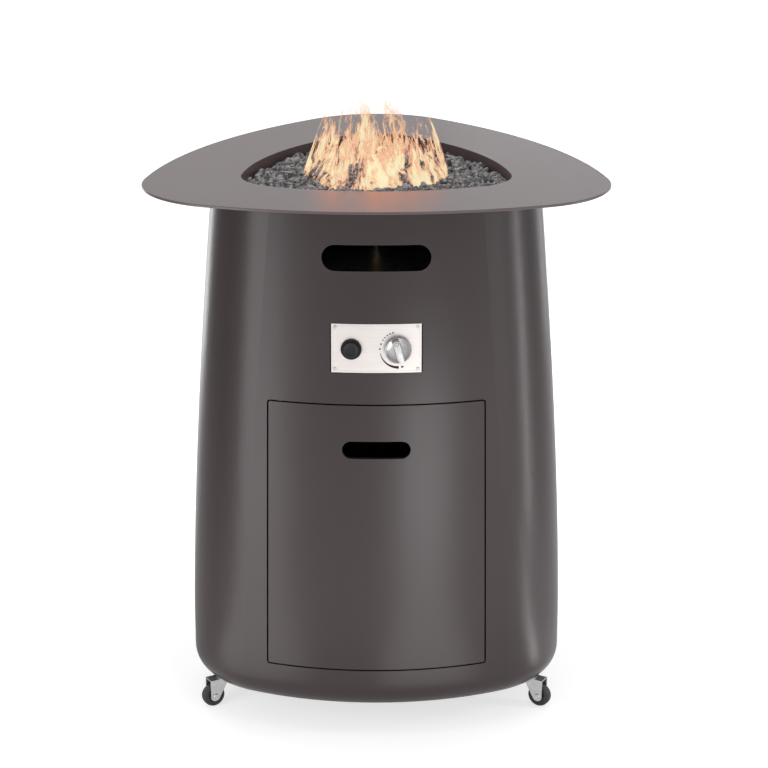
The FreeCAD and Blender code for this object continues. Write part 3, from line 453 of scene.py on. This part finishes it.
# Shortest and longest stretch of a stone along each axis
STONE_STRETCH = [(0.8, 1.35), (0.7, 1.1), (0.65, 0.95)]


def swing(away, direction):
    """How far a vector is turned from a direction, between half a turn back and forth."""
    turn = math.atan2(away.y, away.x) - direction
    return (turn + math.pi) % (2 * math.pi) - math.pi


def inside_opening(x, y):
    """How far a place lies inside the outline of the fire opening."""
    a = OPENING_SPREAD * math.sin(math.pi / 3)
    b = OPENING_SPREAD / 2
    side = ((OPENING_CORNER ** 2 - a * a - (b - OPENING_REACH) ** 2)
            / (2 * (b - OPENING_REACH) + 2 * OPENING_CORNER))
    half = math.atan2(a, side - OPENING_REACH + b)
    depth = 1.0
    for turn in range(3):
        middle = math.radians(120 * turn - 90)
        back = side - OPENING_REACH
        away = Vector((x + math.cos(middle) * back, y + math.sin(middle) * back))
        if abs(swing(away, middle)) <= half:
            depth = min(depth, side - away.length)
        corner = middle + math.pi / 3
        away = Vector((x - OPENING_SPREAD * math.cos(corner), y - OPENING_SPREAD * math.sin(corner)))
        if abs(swing(away, corner)) <= math.pi / 3 - half:
            depth = min(depth, OPENING_CORNER - away.length)
    return depth


def any_way(rng):
    return Vector((rng.gauss(0, 1), rng.gauss(0, 1), rng.gauss(0, 1))).normalized()


def crushed_stone(rng):
    """One crushed stone: a coarse ball with its corners pulled about and some flats."""
    stone = bmesh.new()
    bmesh.ops.create_icosphere(stone, subdivisions=2, radius=1.0)
    flats = [any_way(rng) for _ in range(7)]
    for vert in stone.verts:
        way = vert.co.normalized()
        reach = min([1.0] + [0.62 / max(way.dot(flat), 0.1) for flat in flats])
        vert.co = way * reach * rng.uniform(0.86, 1.1)
    bmesh.ops.scale(stone, vec=[rng.uniform(*span) for span in STONE_STRETCH], verts=stone.verts)
    return stone


def place_rocks(rng, kinds, layer):
    """Places of one layer of stones on a shaken grid inside the opening."""
    places = []
    steps = int(2 * BED_REACH / ROCK_STEP)
    for i in range(steps):
        for j in range(steps):
            x = -BED_REACH + ROCK_STEP * (i + 0.5 * layer) + rng.uniform(-ROCK_SHAKE, ROCK_SHAKE)
            y = -BED_REACH + ROCK_STEP * (j + 0.5 * layer) + rng.uniform(-ROCK_SHAKE, ROCK_SHAKE)
            size = ROCK_SIZE * rng.uniform(0.75, 1.35)
            axis = any_way(rng)
            turn = Matrix.Rotation(rng.uniform(0, 2 * math.pi), 4, axis)
            kind = kinds[rng.randrange(len(kinds))]
            if inside_opening(x, y) < size * 0.95:
                continue
            swell = noise.noise(Vector((x * 9, y * 9, 3))) * BED_SWELL
            z = ROCK_Z - LAYER_RISE + layer * LAYER_RISE + swell + rng.uniform(-ROCK_BOB, ROCK_BOB)
            places.append((kind, Matrix.Translation((x, y + AXIS_Y, z)) @ turn @ Matrix.Scale(size, 4)))
    return places


def build_lava_rocks():
    """Crushed stones in two layers, joined patch by patch."""
    rng = random.Random(ROCK_SEED)
    kinds = []
    for _ in range(ROCK_KINDS):
        stone = crushed_stone(rng)
        kinds.append(bpy.data.meshes.new("rock_kind"))
        stone.to_mesh(kinds[-1])
        stone.free()
    places = place_rocks(rng, kinds, 0) + place_rocks(rng, kinds, 1)
    bed = bmesh.new()
    for first in range(0, len(places), PATCH):
        patch = bmesh.new()
        for kind, place in places[first:first + PATCH]:
            start = len(patch.verts)
            patch.from_mesh(kind)
            patch.verts.ensure_lookup_table()
            bmesh.ops.transform(patch, matrix=place, verts=patch.verts[start:])
        add_shape(bed, patch)
    for kind in kinds:
        bpy.data.meshes.remove(kind)
    keep_piece("lava_rocks", bed, "lava_stone", "cabinet")


# Control panel: knob and igniter

SKIRT_PROFILE = [(0, 4.5), (23.6, 4.5), (24.6, 4.8), (25, 5.6), (25, 8.1), (24.7, 8.9), (24, 9.4),
                 (23, 9.5), (22.2, 9.2), (20.5, 8.7), (14, 8.4), (0, 8.3)]
BEZEL_PROFILE = [(0, -46), (11, -46), (11, 0.3), (18.8, 0.3), (19.4, 0.9), (19.4, 3.5), (19.1, 4.2),
                 (18.4, 4.7), (17.6, 4.7), (17.3, 4.3), (16.7, 4.3), (16.4, 4.7), (15.2, 4.7),
                 (14.6, 4.2), (14.6, 1.2), (4.05, 1.2), (4.05, -38), (0, -38)]
CAP_PROFILE = [(0, -33), (4, -33), (4, 4.5), (14.5, 4.5), (14.5, 7.0), (14.2, 7.8), (13.5, 8.25),
               (12.7, 8.3), (12.3, 8.0), (11.6, 8.0), (11.2, 7.8), (7, 7.3), (0, 7.1)]
RING_PROFILE = [(2.6, 0), (3.3, 0), (3.3, 0.3), (2.6, 0.3), (2.6, 0)]

GRIP_SIZE = (14, 45, 14.5)
GRIP_MIDDLE = 15.25
GRIP_CORNER = 6.9
GRIP_TAPER = (0.84, 0.95, 1)
GRIP_TOP_EDGE = 1.5
GRIP_LEAN = math.radians(16.5)

# The grip's two ring marks: place along the bar, and stretch across it
GRIP_MARKS = [(15.0, 1.2), (-15.5, 1.0)]
MARK_LEVEL = 22.35

PANEL_MIDDLE = (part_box("control_plate")[0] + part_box("control_plate")[1]) / 2
IGNITER_X = -0.0464
IGNITER_DROP = 0.0011
IGNITER_HOLE = 0.0135


def grip_bar():
    """Tapered bar with round ends and a soft top edge."""
    grip = bmesh.new()
    bmesh.ops.create_cube(grip, size=1.0)
    bmesh.ops.scale(grip, vec=GRIP_SIZE, verts=grip.verts)
    bmesh.ops.translate(grip, vec=(0, 0, GRIP_MIDDLE), verts=grip.verts)
    upright = [edge for edge in grip.edges if abs(edge.verts[0].co.z - edge.verts[1].co.z) > 1]
    bmesh.ops.bevel(grip, geom=upright, offset=GRIP_CORNER, offset_type="OFFSET", segments=9, profile=0.5,
                    affect="EDGES", material=-1)
    top = max(grip.faces, key=lambda face: face.calc_center_median().z)
    bmesh.ops.scale(grip, vec=GRIP_TAPER, verts=top.verts)
    bmesh.ops.bevel(grip, geom=top.edges[:], offset=GRIP_TOP_EDGE, offset_type="OFFSET", segments=4,
                    profile=0.5, affect="EDGES", material=-1)
    return grip


def build_knob():
    """Turned skirt with a raised rim, and a grip bar with an oval and a round mark."""
    joint = joint_named("knob_turn")
    place = out_of_panel(Vector(joint["pos_m"]), Vector(joint["axis"]).normalized())
    turned = settle(spun(SKIRT_PROFILE, 96), place)
    skirt = keep_piece("knob_skirt", turned, "polished_zinc", "knob", smooth=30)
    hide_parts("knob")
    place = place @ Matrix.Rotation(GRIP_LEAN, 4, "Z")
    grip = settle(grip_bar(), place)
    keep_piece("knob_grip", grip, "polished_zinc", "knob", finish=SATIN_ZINC, smooth=35)
    marks = bmesh.new()
    for along, stretch in GRIP_MARKS:
        ring = spun(RING_PROFILE, 32)
        bmesh.ops.scale(ring, vec=(stretch, 1, 1), verts=ring.verts)
        bmesh.ops.translate(ring, vec=(0, along, MARK_LEVEL), verts=ring.verts)
        add_shape(marks, ring)
    keep_piece("knob_marks", settle(marks, place), "zinc_sheet", "knob", finish=INK_AND_GAP_SHADE, smooth=35)


def build_igniter(skin):
    """Bezel with a groove round its face, and a dished cap in it."""
    centre, _ = over_hole(skin, IGNITER_X, PANEL_MIDDLE.z - IGNITER_DROP, IGNITER_HOLE)
    place = out_of_panel(centre, -Vector(joint_named("igniter_press")["axis"]).normalized())
    turned = settle(spun(BEZEL_PROFILE, 80), place)
    bezel = keep_piece("igniter_bezel", turned, "black_plastic", "cabinet", smooth=30)
    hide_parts("igniter_body")
    turned = settle(spun(CAP_PROFILE, 80), place)
    cap = keep_piece("igniter_cap", turned, "black_plastic", "igniter_button", smooth=30)
    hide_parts("igniter_button")


# Control panel: what lies on the plate

# The dial: degrees from the right, and widths in millimetres
DIAL_RADIUS = 33.4
DASH_COUNT = 5
DASH_START = 146.5
DASH_STEP = 10
DASH_HALF = 2.2
DASH_WIDTH = 2.0
DASH_GROWTH = 0.12
DOT_PLACES = (161.0, 177.5)
DOT_HALF = 2.4
DOT_WIDTH = 2.9

# Start, end, width at each of them, and steps
ARC = (191.0, 272.5, 1.0, 5.0, 30)
END_MARK = (280.0, 289.5, 4.8, 0.6, 4)

INK_LIFT = 0.00004
INK_DEPTH = 0.00006
LINE_INSET = 0.0033
LINE_HALF = 0.00022
LINE_LIFT = 0.00003
# Black strip painted into the gap round the plate as its shade: width at the sides, at top and bottom, and depth
GAP_SHADE_SIDE = 0.0025
GAP_SHADE_LEVEL = 0.001
GAP_SHADE_DEPTH = 0.0004
SCREW_REACH = 0.0032
SCREW_HOLE = 0.0036
SLOT_SIZES = [(3.4, 0.7, 0.6), (0.7, 3.4, 0.6)]
SLOT_LEVEL = 1.4


def skin_of(node):
    """A solid's skin, to lay pieces on."""
    mesh = nodes[node].data
    points = [vert.co for vert in mesh.vertices]
    return BVHTree.FromPolygons(points, [face.vertices for face in mesh.polygons])


def on_skin(skin, x, z):
    """The point of a plate's front at a place, and the way out of it."""
    hit, normal, _, _ = skin.ray_cast(Vector((x, -1.0, z)), Vector((0, 1, 0)))
    return hit, normal


def over_hole(skin, x, z, gap):
    """Middle of a hole in the plate, level with the plate above and below it."""
    above, normal = on_skin(skin, x, z + gap)
    below, _ = on_skin(skin, x, z - gap)
    return (above + below) / 2, normal


def lay_on(shape, skin, lift):
    """Wraps flat shapes, drawn in the front view, onto a plate."""
    for vert in shape.verts:
        hit, _ = on_skin(skin, vert.co.x, vert.co.z)
        vert.co.y = hit.y - lift
    shape.normal_update()
    bmesh.ops.reverse_faces(shape, faces=[face for face in shape.faces if face.normal.y > 0])


def flat_band(shape, steps, bend):
    """A flat strip whose points a function takes from along and across to the front view."""
    made = bmesh.ops.create_grid(shape, x_segments=steps, y_segments=1, size=1.0)
    for vert in made["verts"]:
        x, z = bend((vert.co.x + 1) / 2, vert.co.y)
        vert.co = (x, 0, z)


def dial_band(shape, start, end, width_start, width_end, steps):
    """Part of a ring about the knob, from one angle to another, with a width that grows."""
    hub = joint_named("knob_turn")["pos_m"]

    def bend(along, across):
        angle = math.radians(start + (end - start) * along)
        reach = (DIAL_RADIUS + across * (width_start + (width_end - width_start) * along) / 2) * MM
        return hub[0] + reach * math.cos(angle), hub[2] + reach * math.sin(angle)

    flat_band(shape, steps, bend)


def build_dial_marks(skin):
    """Printed scale round the knob: growing dashes, two dots, a growing arc and an end mark."""
    marks = bmesh.new()
    for step in range(DASH_COUNT):
        middle = DASH_START - DASH_STEP * step
        width = DASH_WIDTH + DASH_GROWTH * step
        dial_band(marks, middle - DASH_HALF, middle + DASH_HALF, width, width, 3)
    for middle in DOT_PLACES:
        dial_band(marks, middle - DOT_HALF, middle + DOT_HALF, DOT_WIDTH, DOT_WIDTH, 3)
    dial_band(marks, *ARC)
    dial_band(marks, *END_MARK)
    lay_on(marks, skin, INK_LIFT)
    thicken(keep_piece("dial_marks", marks, "black_coat", "cabinet", finish=INK_AND_GAP_SHADE), INK_DEPTH)


def build_plate_line(skin):
    """Fine engraved line a little inside the plate's edges."""
    low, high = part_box("control_plate")
    left, right = low.x + LINE_INSET, high.x - LINE_INSET
    foot, head = low.z + LINE_INSET, high.z - LINE_INSET
    width, height = right - left, head - foot
    lines = bmesh.new()
    for level in (foot, head):
        flat_band(lines, 48, lambda along, across: (left + width * along, level + across * LINE_HALF))
    for side in (left, right):
        flat_band(lines, 8, lambda along, across: (side + across * LINE_HALF, foot + height * along))
    lay_on(lines, skin, LINE_LIFT)
    thicken(keep_piece("plate_line", lines, "stainless", "cabinet", finish=ENGRAVED_AND_RECESS_SHADE_STEEL), LINE_LIFT)


def build_plate_gap_shade():
    """Black strip in the gap round the plate, laid on the backplate: painted shade where the gap is dark."""
    low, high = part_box("control_plate")
    size = high - low
    gap_shade = bmesh.new()
    for edge, out in ((low.x, -GAP_SHADE_SIDE), (high.x, GAP_SHADE_SIDE)):
        flat_band(gap_shade, 8, lambda along, across: (edge + out * (across + 1) / 2, low.z + size.z * along))
    for edge, out in ((low.z, -GAP_SHADE_LEVEL), (high.z, GAP_SHADE_LEVEL)):
        flat_band(gap_shade, 48, lambda along, across: (low.x + size.x * along, edge + out * (across + 1) / 2))
    lay_on(gap_shade, skin_of("panel_backplate"), GAP_SHADE_DEPTH)
    thicken(keep_piece("plate_gap_shade", gap_shade, "black_plastic", "cabinet", finish=INK_AND_GAP_SHADE), GAP_SHADE_DEPTH)


def build_screw_recess_shade(skin):
    """Cross recess in the head of each of the plate's four screws, drawn as small blocks of darker steel: painted
    shade in the recess.
    """
    low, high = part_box("panel_screws")
    slots = bmesh.new()
    for x in (low.x + SCREW_REACH, high.x - SCREW_REACH):
        for z in (low.z + SCREW_REACH, high.z - SCREW_REACH):
            hit, normal = over_hole(skin, x, z, SCREW_HOLE)
            place = out_of_panel(hit, normal) @ Matrix.Scale(MM, 4)
            for size in SLOT_SIZES:
                bar = bmesh.ops.create_cube(slots, size=1.0)["verts"]
                bmesh.ops.scale(slots, vec=size, verts=bar)
                bmesh.ops.translate(slots, vec=(0, 0, SLOT_LEVEL), verts=bar)
                bmesh.ops.transform(slots, matrix=place, verts=bar)
    keep_piece("screw_recess_shade", slots, "zinc_steel", "cabinet", finish=ENGRAVED_AND_RECESS_SHADE_STEEL)


# Casters

TREAD_HALF = [(17, 8.5), (19.2, 8.5), (20.7, 8.0), (21.7, 6.7), (22.3, 4.6), (22.5, 2.2)]
TREAD_PROFILE = TREAD_HALF + [(radius, -side) for radius, side in reversed(TREAD_HALF)] + TREAD_HALF[:1]
PRESSED_EDGE = 0.0004


def build_casters():
    """Round treads, and rounded edges on the pressed forks and on the bolts."""
    for place in ("front_left", "front_right", "rear"):
        joint = joint_named("caster_%s_roll" % place)
        turn = Vector((0, 0, 1)).rotation_difference(Vector(joint["axis"])).to_matrix().to_4x4()
        tread = settle(spun(TREAD_PROFILE, 72), Matrix.Translation(joint["pos_m"]) @ turn)
        wheel = "caster_%s_wheel" % place
        tyre = keep_piece("caster_%s_tread" % place, tread, "wheel_tyre", wheel, smooth=35)
        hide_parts("caster_%s_tyre" % place)
        for part in ("fork", "axle", "stem"):
            soften("caster_%s_%s" % (place, part), PRESSED_EDGE)


# Flames, which are light and no piece of the table

# Reach and height of each curtain
FLAME_RINGS = [(0.134, 0.170), (0.090, 0.230), (0.046, 0.270)]
FLAME_STEPS = 120
FLAME_LEVELS = 22
FLAME_SEED = 3
FLAME_SHIFT = -0.003
FLAME_SINK = 0.012
FLAME_CALM = 0.014
FLAME_WAVE = 0.042
FLAME_SWAY = (0.035, 0.035, 0.0)
FLAME_STRETCH = (1, 1, 0.13)

FLAME_EDGE = (0.86, 0.40, 0.24, 1)
FLAME_BODY = (1.0, 0.74, 0.44, 1)
FLAME_CORE = (1.0, 0.90, 0.58, 1)
# Flame colour shown only in reflections, brighter than the flame itself: painted reflection
FLAME_PAINTED_REFLECTION = (3.0, 1.15, 0.6, 1)


def swaying_streaks(tree, place):
    """How much flame there is at a place: tall streaks in clumps, bent by a slow sway."""
    sway = add_node(tree, "ShaderNodeTexNoise")
    sway.inputs["Scale"].default_value = 22
    sway.inputs["Detail"].default_value = 2
    tree.links.new(place, sway.inputs["Vector"])
    bent = add_node(tree, "ShaderNodeVectorMath", operation="MULTIPLY_ADD")
    bent.inputs[1].default_value = FLAME_SWAY
    tree.links.new(sway.outputs["Color"], bent.inputs[0])
    tree.links.new(place, bent.inputs[2])
    tall = add_node(tree, "ShaderNodeMapping")
    tall.inputs["Scale"].default_value = FLAME_STRETCH
    tree.links.new(bent.outputs["Vector"], tall.inputs["Vector"])
    streak = noise_texture(tree, tall.outputs["Vector"], 112, 5, 0.66)
    clump = noise_texture(tree, tall.outputs["Vector"], 20, 1)
    return math_node(tree, "ADD", math_node(tree, "MULTIPLY", streak, 0.5),
                     math_node(tree, "MULTIPLY", clump, 0.5))


def build_flame_material():
    """Pale yellow streaks with peach edges, clear between them and fading upwards."""
    made, tree, shader = new_material("flame")
    tree.nodes.remove(shader)
    place = add_node(tree, "ShaderNodeTexCoord").outputs["Object"]
    height = math_node(tree, "SUBTRACT", separate_z(tree, place), ROCK_Z)
    bar = remap(tree, height, 0.0, 0.15, 0.462, 0.57)
    over = math_node(tree, "SUBTRACT", swaying_streaks(tree, place), bar)
    fade = math_node(tree, "MULTIPLY", remap(tree, height, 0.085, 0.135, 1.0, 0.2),
                     remap(tree, height, 0.17, 0.26, 1.0, 0.0))
    cover = math_node(tree, "MULTIPLY", remap(tree, over, 0.0, 0.035, 0.0, 1.0),
                      math_node(tree, "MULTIPLY", fade, 0.9))
    shade = mix_colour(tree, remap(tree, over, 0.01, 0.09, 0, 1), FLAME_EDGE, FLAME_BODY)
    shade = mix_colour(tree, remap(tree, over, 0.05, 0.13, 0, 1), shade, FLAME_CORE)
    paths = add_node(tree, "ShaderNodeLightPath")
    glow = add_node(tree, "ShaderNodeEmission")
    # Painted reflection: glossy rays see the flame in a brighter colour
    shade = mix_colour(tree, paths.outputs["Is Glossy Ray"], shade, FLAME_PAINTED_REFLECTION)
    tree.links.new(shade, glow.inputs["Color"])
    clear = add_node(tree, "ShaderNodeBsdfTransparent")
    both = mix_shaders(tree, cover, clear.outputs["BSDF"], glow.outputs["Emission"])
    tree.links.new(both, tree.nodes["Material Output"].inputs["Surface"])
    made.cycles.emission_sampling = "NONE"
    return made


def flame_curtain(count, reach, height):
    """A wavy curtain that closes in upwards."""
    curtain = bmesh.new()
    ring = bmesh.ops.create_circle(curtain, segments=FLAME_STEPS, radius=reach)["verts"]
    for _ in range(FLAME_LEVELS):
        rim = [edge for edge in curtain.edges if all(end in ring for end in edge.verts)]
        grown = bmesh.ops.extrude_edge_only(curtain, edges=rim)
        ring = {part for part in grown["geom"] if isinstance(part, bmesh.types.BMVert)}
        bmesh.ops.translate(curtain, vec=(0, 0, height / FLAME_LEVELS), verts=list(ring))
    for vert in curtain.verts:
        up = vert.co.z / height
        narrow = 1.06 - 0.5 * up ** 1.2
        wave = noise.noise_vector(Vector((vert.co.x * 12, vert.co.y * 12, vert.co.z * 8 + 7 * count)))
        vert.co = Vector((vert.co.x * narrow, vert.co.y * narrow, vert.co.z))
        vert.co += wave * (FLAME_CALM + FLAME_WAVE * up)
        vert.co += Vector((FLAME_SHIFT, AXIS_Y, ROCK_Z - FLAME_SINK))
    return curtain


def build_flames():
    """Nested curtains of flame that stand on the stones."""
    finish = build_flame_material()
    noise.seed_set(FLAME_SEED)
    for count, (reach, height) in enumerate(FLAME_RINGS):
        flames = new_object("flames_%d" % count, flame_curtain(count, reach, height))
        flames.data.shade_smooth()
        flames.data.materials.append(finish)
        flames.visible_diffuse = False
        flames.visible_shadow = False


# Stage, lamps and camera

FLOOR_SIZE = 30
FLOOR_GREY = (0.62, 0.62, 0.62, 1)
FLOOR_GLOW = 0.64
WORLD_LEVEL = 0.34

CAMERA_PLACE = (0.0, -4.5100, 2.0807)
CAMERA_DOWN = 18.2727
CAMERA_LENS = 111.278
CAMERA_SHIFT = 0.0099

# Sides on which the floor is painted darker where the coat mirrors it, as painted shade in reflections: azimuth,
# with 0 in front, and what is left
SIDE_SHADES = [(-102, 0.15), (122, 0.4)]


def facing(turn):
    """The level way out of the table's middle at an azimuth, with 0 in front."""
    return Vector((math.sin(turn), -math.cos(turn), 0))


def side_shade(tree, place, azimuth, shade):
    """Painted shade: darkens what the coat mirrors of the floor on one side of the table."""
    flat = add_node(tree, "ShaderNodeVectorMath", operation="MULTIPLY")
    flat.inputs[1].default_value = (1, 1, 0)
    tree.links.new(place, flat.inputs[0])
    unit = add_node(tree, "ShaderNodeVectorMath", operation="NORMALIZE")
    tree.links.new(flat.outputs["Vector"], unit.inputs[0])
    along = add_node(tree, "ShaderNodeVectorMath", operation="DOT_PRODUCT")
    along.inputs[1].default_value = facing(math.radians(azimuth))
    tree.links.new(unit.outputs["Vector"], along.inputs[0])
    return remap(tree, along.outputs["Value"], 0.72, 0.95, 1.0, shade)


def build_floor():
    """Pale floor that keeps the table's shadow, with a glow painted dimmer near the table as shade, going to white
    away from it.
    """
    shape = bmesh.new()
    bmesh.ops.create_grid(shape, x_segments=1, y_segments=1, size=FLOOR_SIZE)
    floor = new_object("floor", shape)
    made, tree, shader = new_material("floor")
    shader.inputs["Base Color"].default_value = FLOOR_GREY
    shader.inputs["Roughness"].default_value = 1.0
    shader.inputs["Specular IOR Level"].default_value = 0.0
    place = add_node(tree, "ShaderNodeTexCoord").outputs["Object"]
    away = add_node(tree, "ShaderNodeVectorMath", operation="LENGTH")
    tree.links.new(place, away.inputs[0])
    # Painted shade: the floor glows only FLOOR_GLOW within 0.42 m of the middle, rising to full white at 1.1 m
    plain = remap(tree, away.outputs["Value"], 0.42, 1.1, FLOOR_GLOW, 1.0)
    shaded = plain
    # Painted shade in reflections: seen by glossy rays only, the floor is darker on two sides
    for azimuth, shade in SIDE_SHADES:
        shaded = math_node(tree, "MULTIPLY", shaded, side_shade(tree, place, azimuth, shade))
    mirrored = add_node(tree, "ShaderNodeLightPath").outputs["Is Glossy Ray"]
    level = add_node(tree, "ShaderNodeMix", data_type="FLOAT")
    for socket, value in zip(level.inputs[:1] + level.inputs[2:4], (mirrored, plain, shaded)):
        tree.links.new(value, socket)
    glow = add_node(tree, "ShaderNodeEmission")
    tree.links.new(level.outputs[0], glow.inputs["Strength"])
    both = add_node(tree, "ShaderNodeAddShader")
    tree.links.new(shader.outputs["BSDF"], both.inputs[0])
    tree.links.new(glow.outputs["Emission"], both.inputs[1])
    surface = mix_shaders(tree, seen_or_mirrored(tree), shader.outputs["BSDF"], both.outputs["Shader"])
    tree.links.new(surface, tree.nodes["Material Output"].inputs["Surface"])
    floor.data.materials.append(made)


def build_world():
    """Soft even light from all round, and a white background."""
    world = bpy.data.worlds.new("studio")
    bpy.context.scene.world = world
    world.use_nodes = True
    tree = world.node_tree
    plain = tree.nodes["Background"]
    plain.inputs["Color"].default_value = (1, 1, 1, 1)
    plain.inputs["Strength"].default_value = WORLD_LEVEL
    white = add_node(tree, "ShaderNodeBackground")
    white.inputs["Color"].default_value = (1, 1, 1, 1)
    seen = seen_or_mirrored(tree)
    sky = mix_shaders(tree, seen, plain.outputs["Background"], white.outputs["Background"])
    tree.links.new(sky, tree.nodes["World Output"].inputs["Surface"])


def add_lamp(name, place, aim, size, power):
    """Soft rectangular lamp turned towards a point."""
    lamp = bpy.data.lights.new(name, "AREA")
    lamp.shape = "RECTANGLE"
    lamp.size, lamp.size_y = size
    lamp.energy = power
    holder = bpy.data.objects.new(name, lamp)
    bpy.context.scene.collection.objects.link(holder)
    holder.location = place
    holder.rotation_euler = (Vector(aim) - Vector(place)).to_track_quat("-Z", "Y").to_euler()
    holder.visible_camera = False
    return holder


def add_strip(name, azimuth, reach, width, height, power):
    """Upright soft strip standing on the floor, turned to the cabinet; azimuth 0 is in front."""
    level = Vector((0, 0, height / 2 + 0.01))
    add_lamp(name, facing(math.radians(azimuth)) * reach + level, level, (width, height), power)


def add_apron(name, azimuth, near, far, width, power):
    """Soft strip lying on the floor from near the cabinet outwards, which lights its foot."""
    turn = math.radians(azimuth)
    middle = facing(turn) * (near + far) / 2 + Vector((0, 0, 0.006))
    lamp = add_lamp(name, middle, (0, 0, 0), (width, far - near), power)
    lamp.rotation_euler = (math.pi, 0, turn)


def build_lamps():
    add_lamp("overhead", (0.0, 0.3, 3.4), (0, 0, 0.9), (3.0, 3.0), 36)
    add_strip("left_strip", -44, 1.7, 0.74, 1.1, 9.2)
    add_apron("left_apron", -44, 0.6, 1.68, 0.5, 3.2)
    add_strip("middle_strip", 16.5, 1.7, 0.52, 0.5, 4.4)
    add_apron("middle_apron", 17, 0.6, 1.68, 0.36, 2.8)
    add_strip("right_strip", 75, 1.65, 0.10, 1.1, 5.2)
    add_apron("right_apron", 66, 0.6, 1.62, 0.08, 1.5)
    add_strip("right_fill", 47, 2.4, 0.9, 1.2, 4)
    add_strip("left_rim", -140, 2.6, 0.7, 1.4, 8)
    add_strip("right_rim", 132, 3.2, 1.0, 1.7, 7)
    add_strip("back", 165, 2.4, 0.8, 1.2, 14)


def place_camera():
    """Long lens a little above the table, looking down on it from the front."""
    lens = bpy.data.cameras.new("camera")
    lens.sensor_width = 36.0
    lens.lens = CAMERA_LENS
    lens.shift_x = CAMERA_SHIFT
    lens.clip_end = 200.0
    camera = bpy.data.objects.new("camera", lens)
    bpy.context.scene.collection.objects.link(camera)
    camera.location = CAMERA_PLACE
    camera.rotation_euler = (math.radians(90 - CAMERA_DOWN), 0.0, 0.0)
    bpy.context.scene.camera = camera


place_camera()
dress_nodes()
build_lava_rocks()
build_knob()
plate = skin_of("control_plate")
build_igniter(plate)
build_dial_marks(plate)
build_plate_line(plate)
build_plate_gap_shade()
build_screw_recess_shade(plate)
build_casters()
build_flames()
build_floor()
build_world()
build_lamps()
bpy.context.scene.view_settings.view_transform = "Standard"
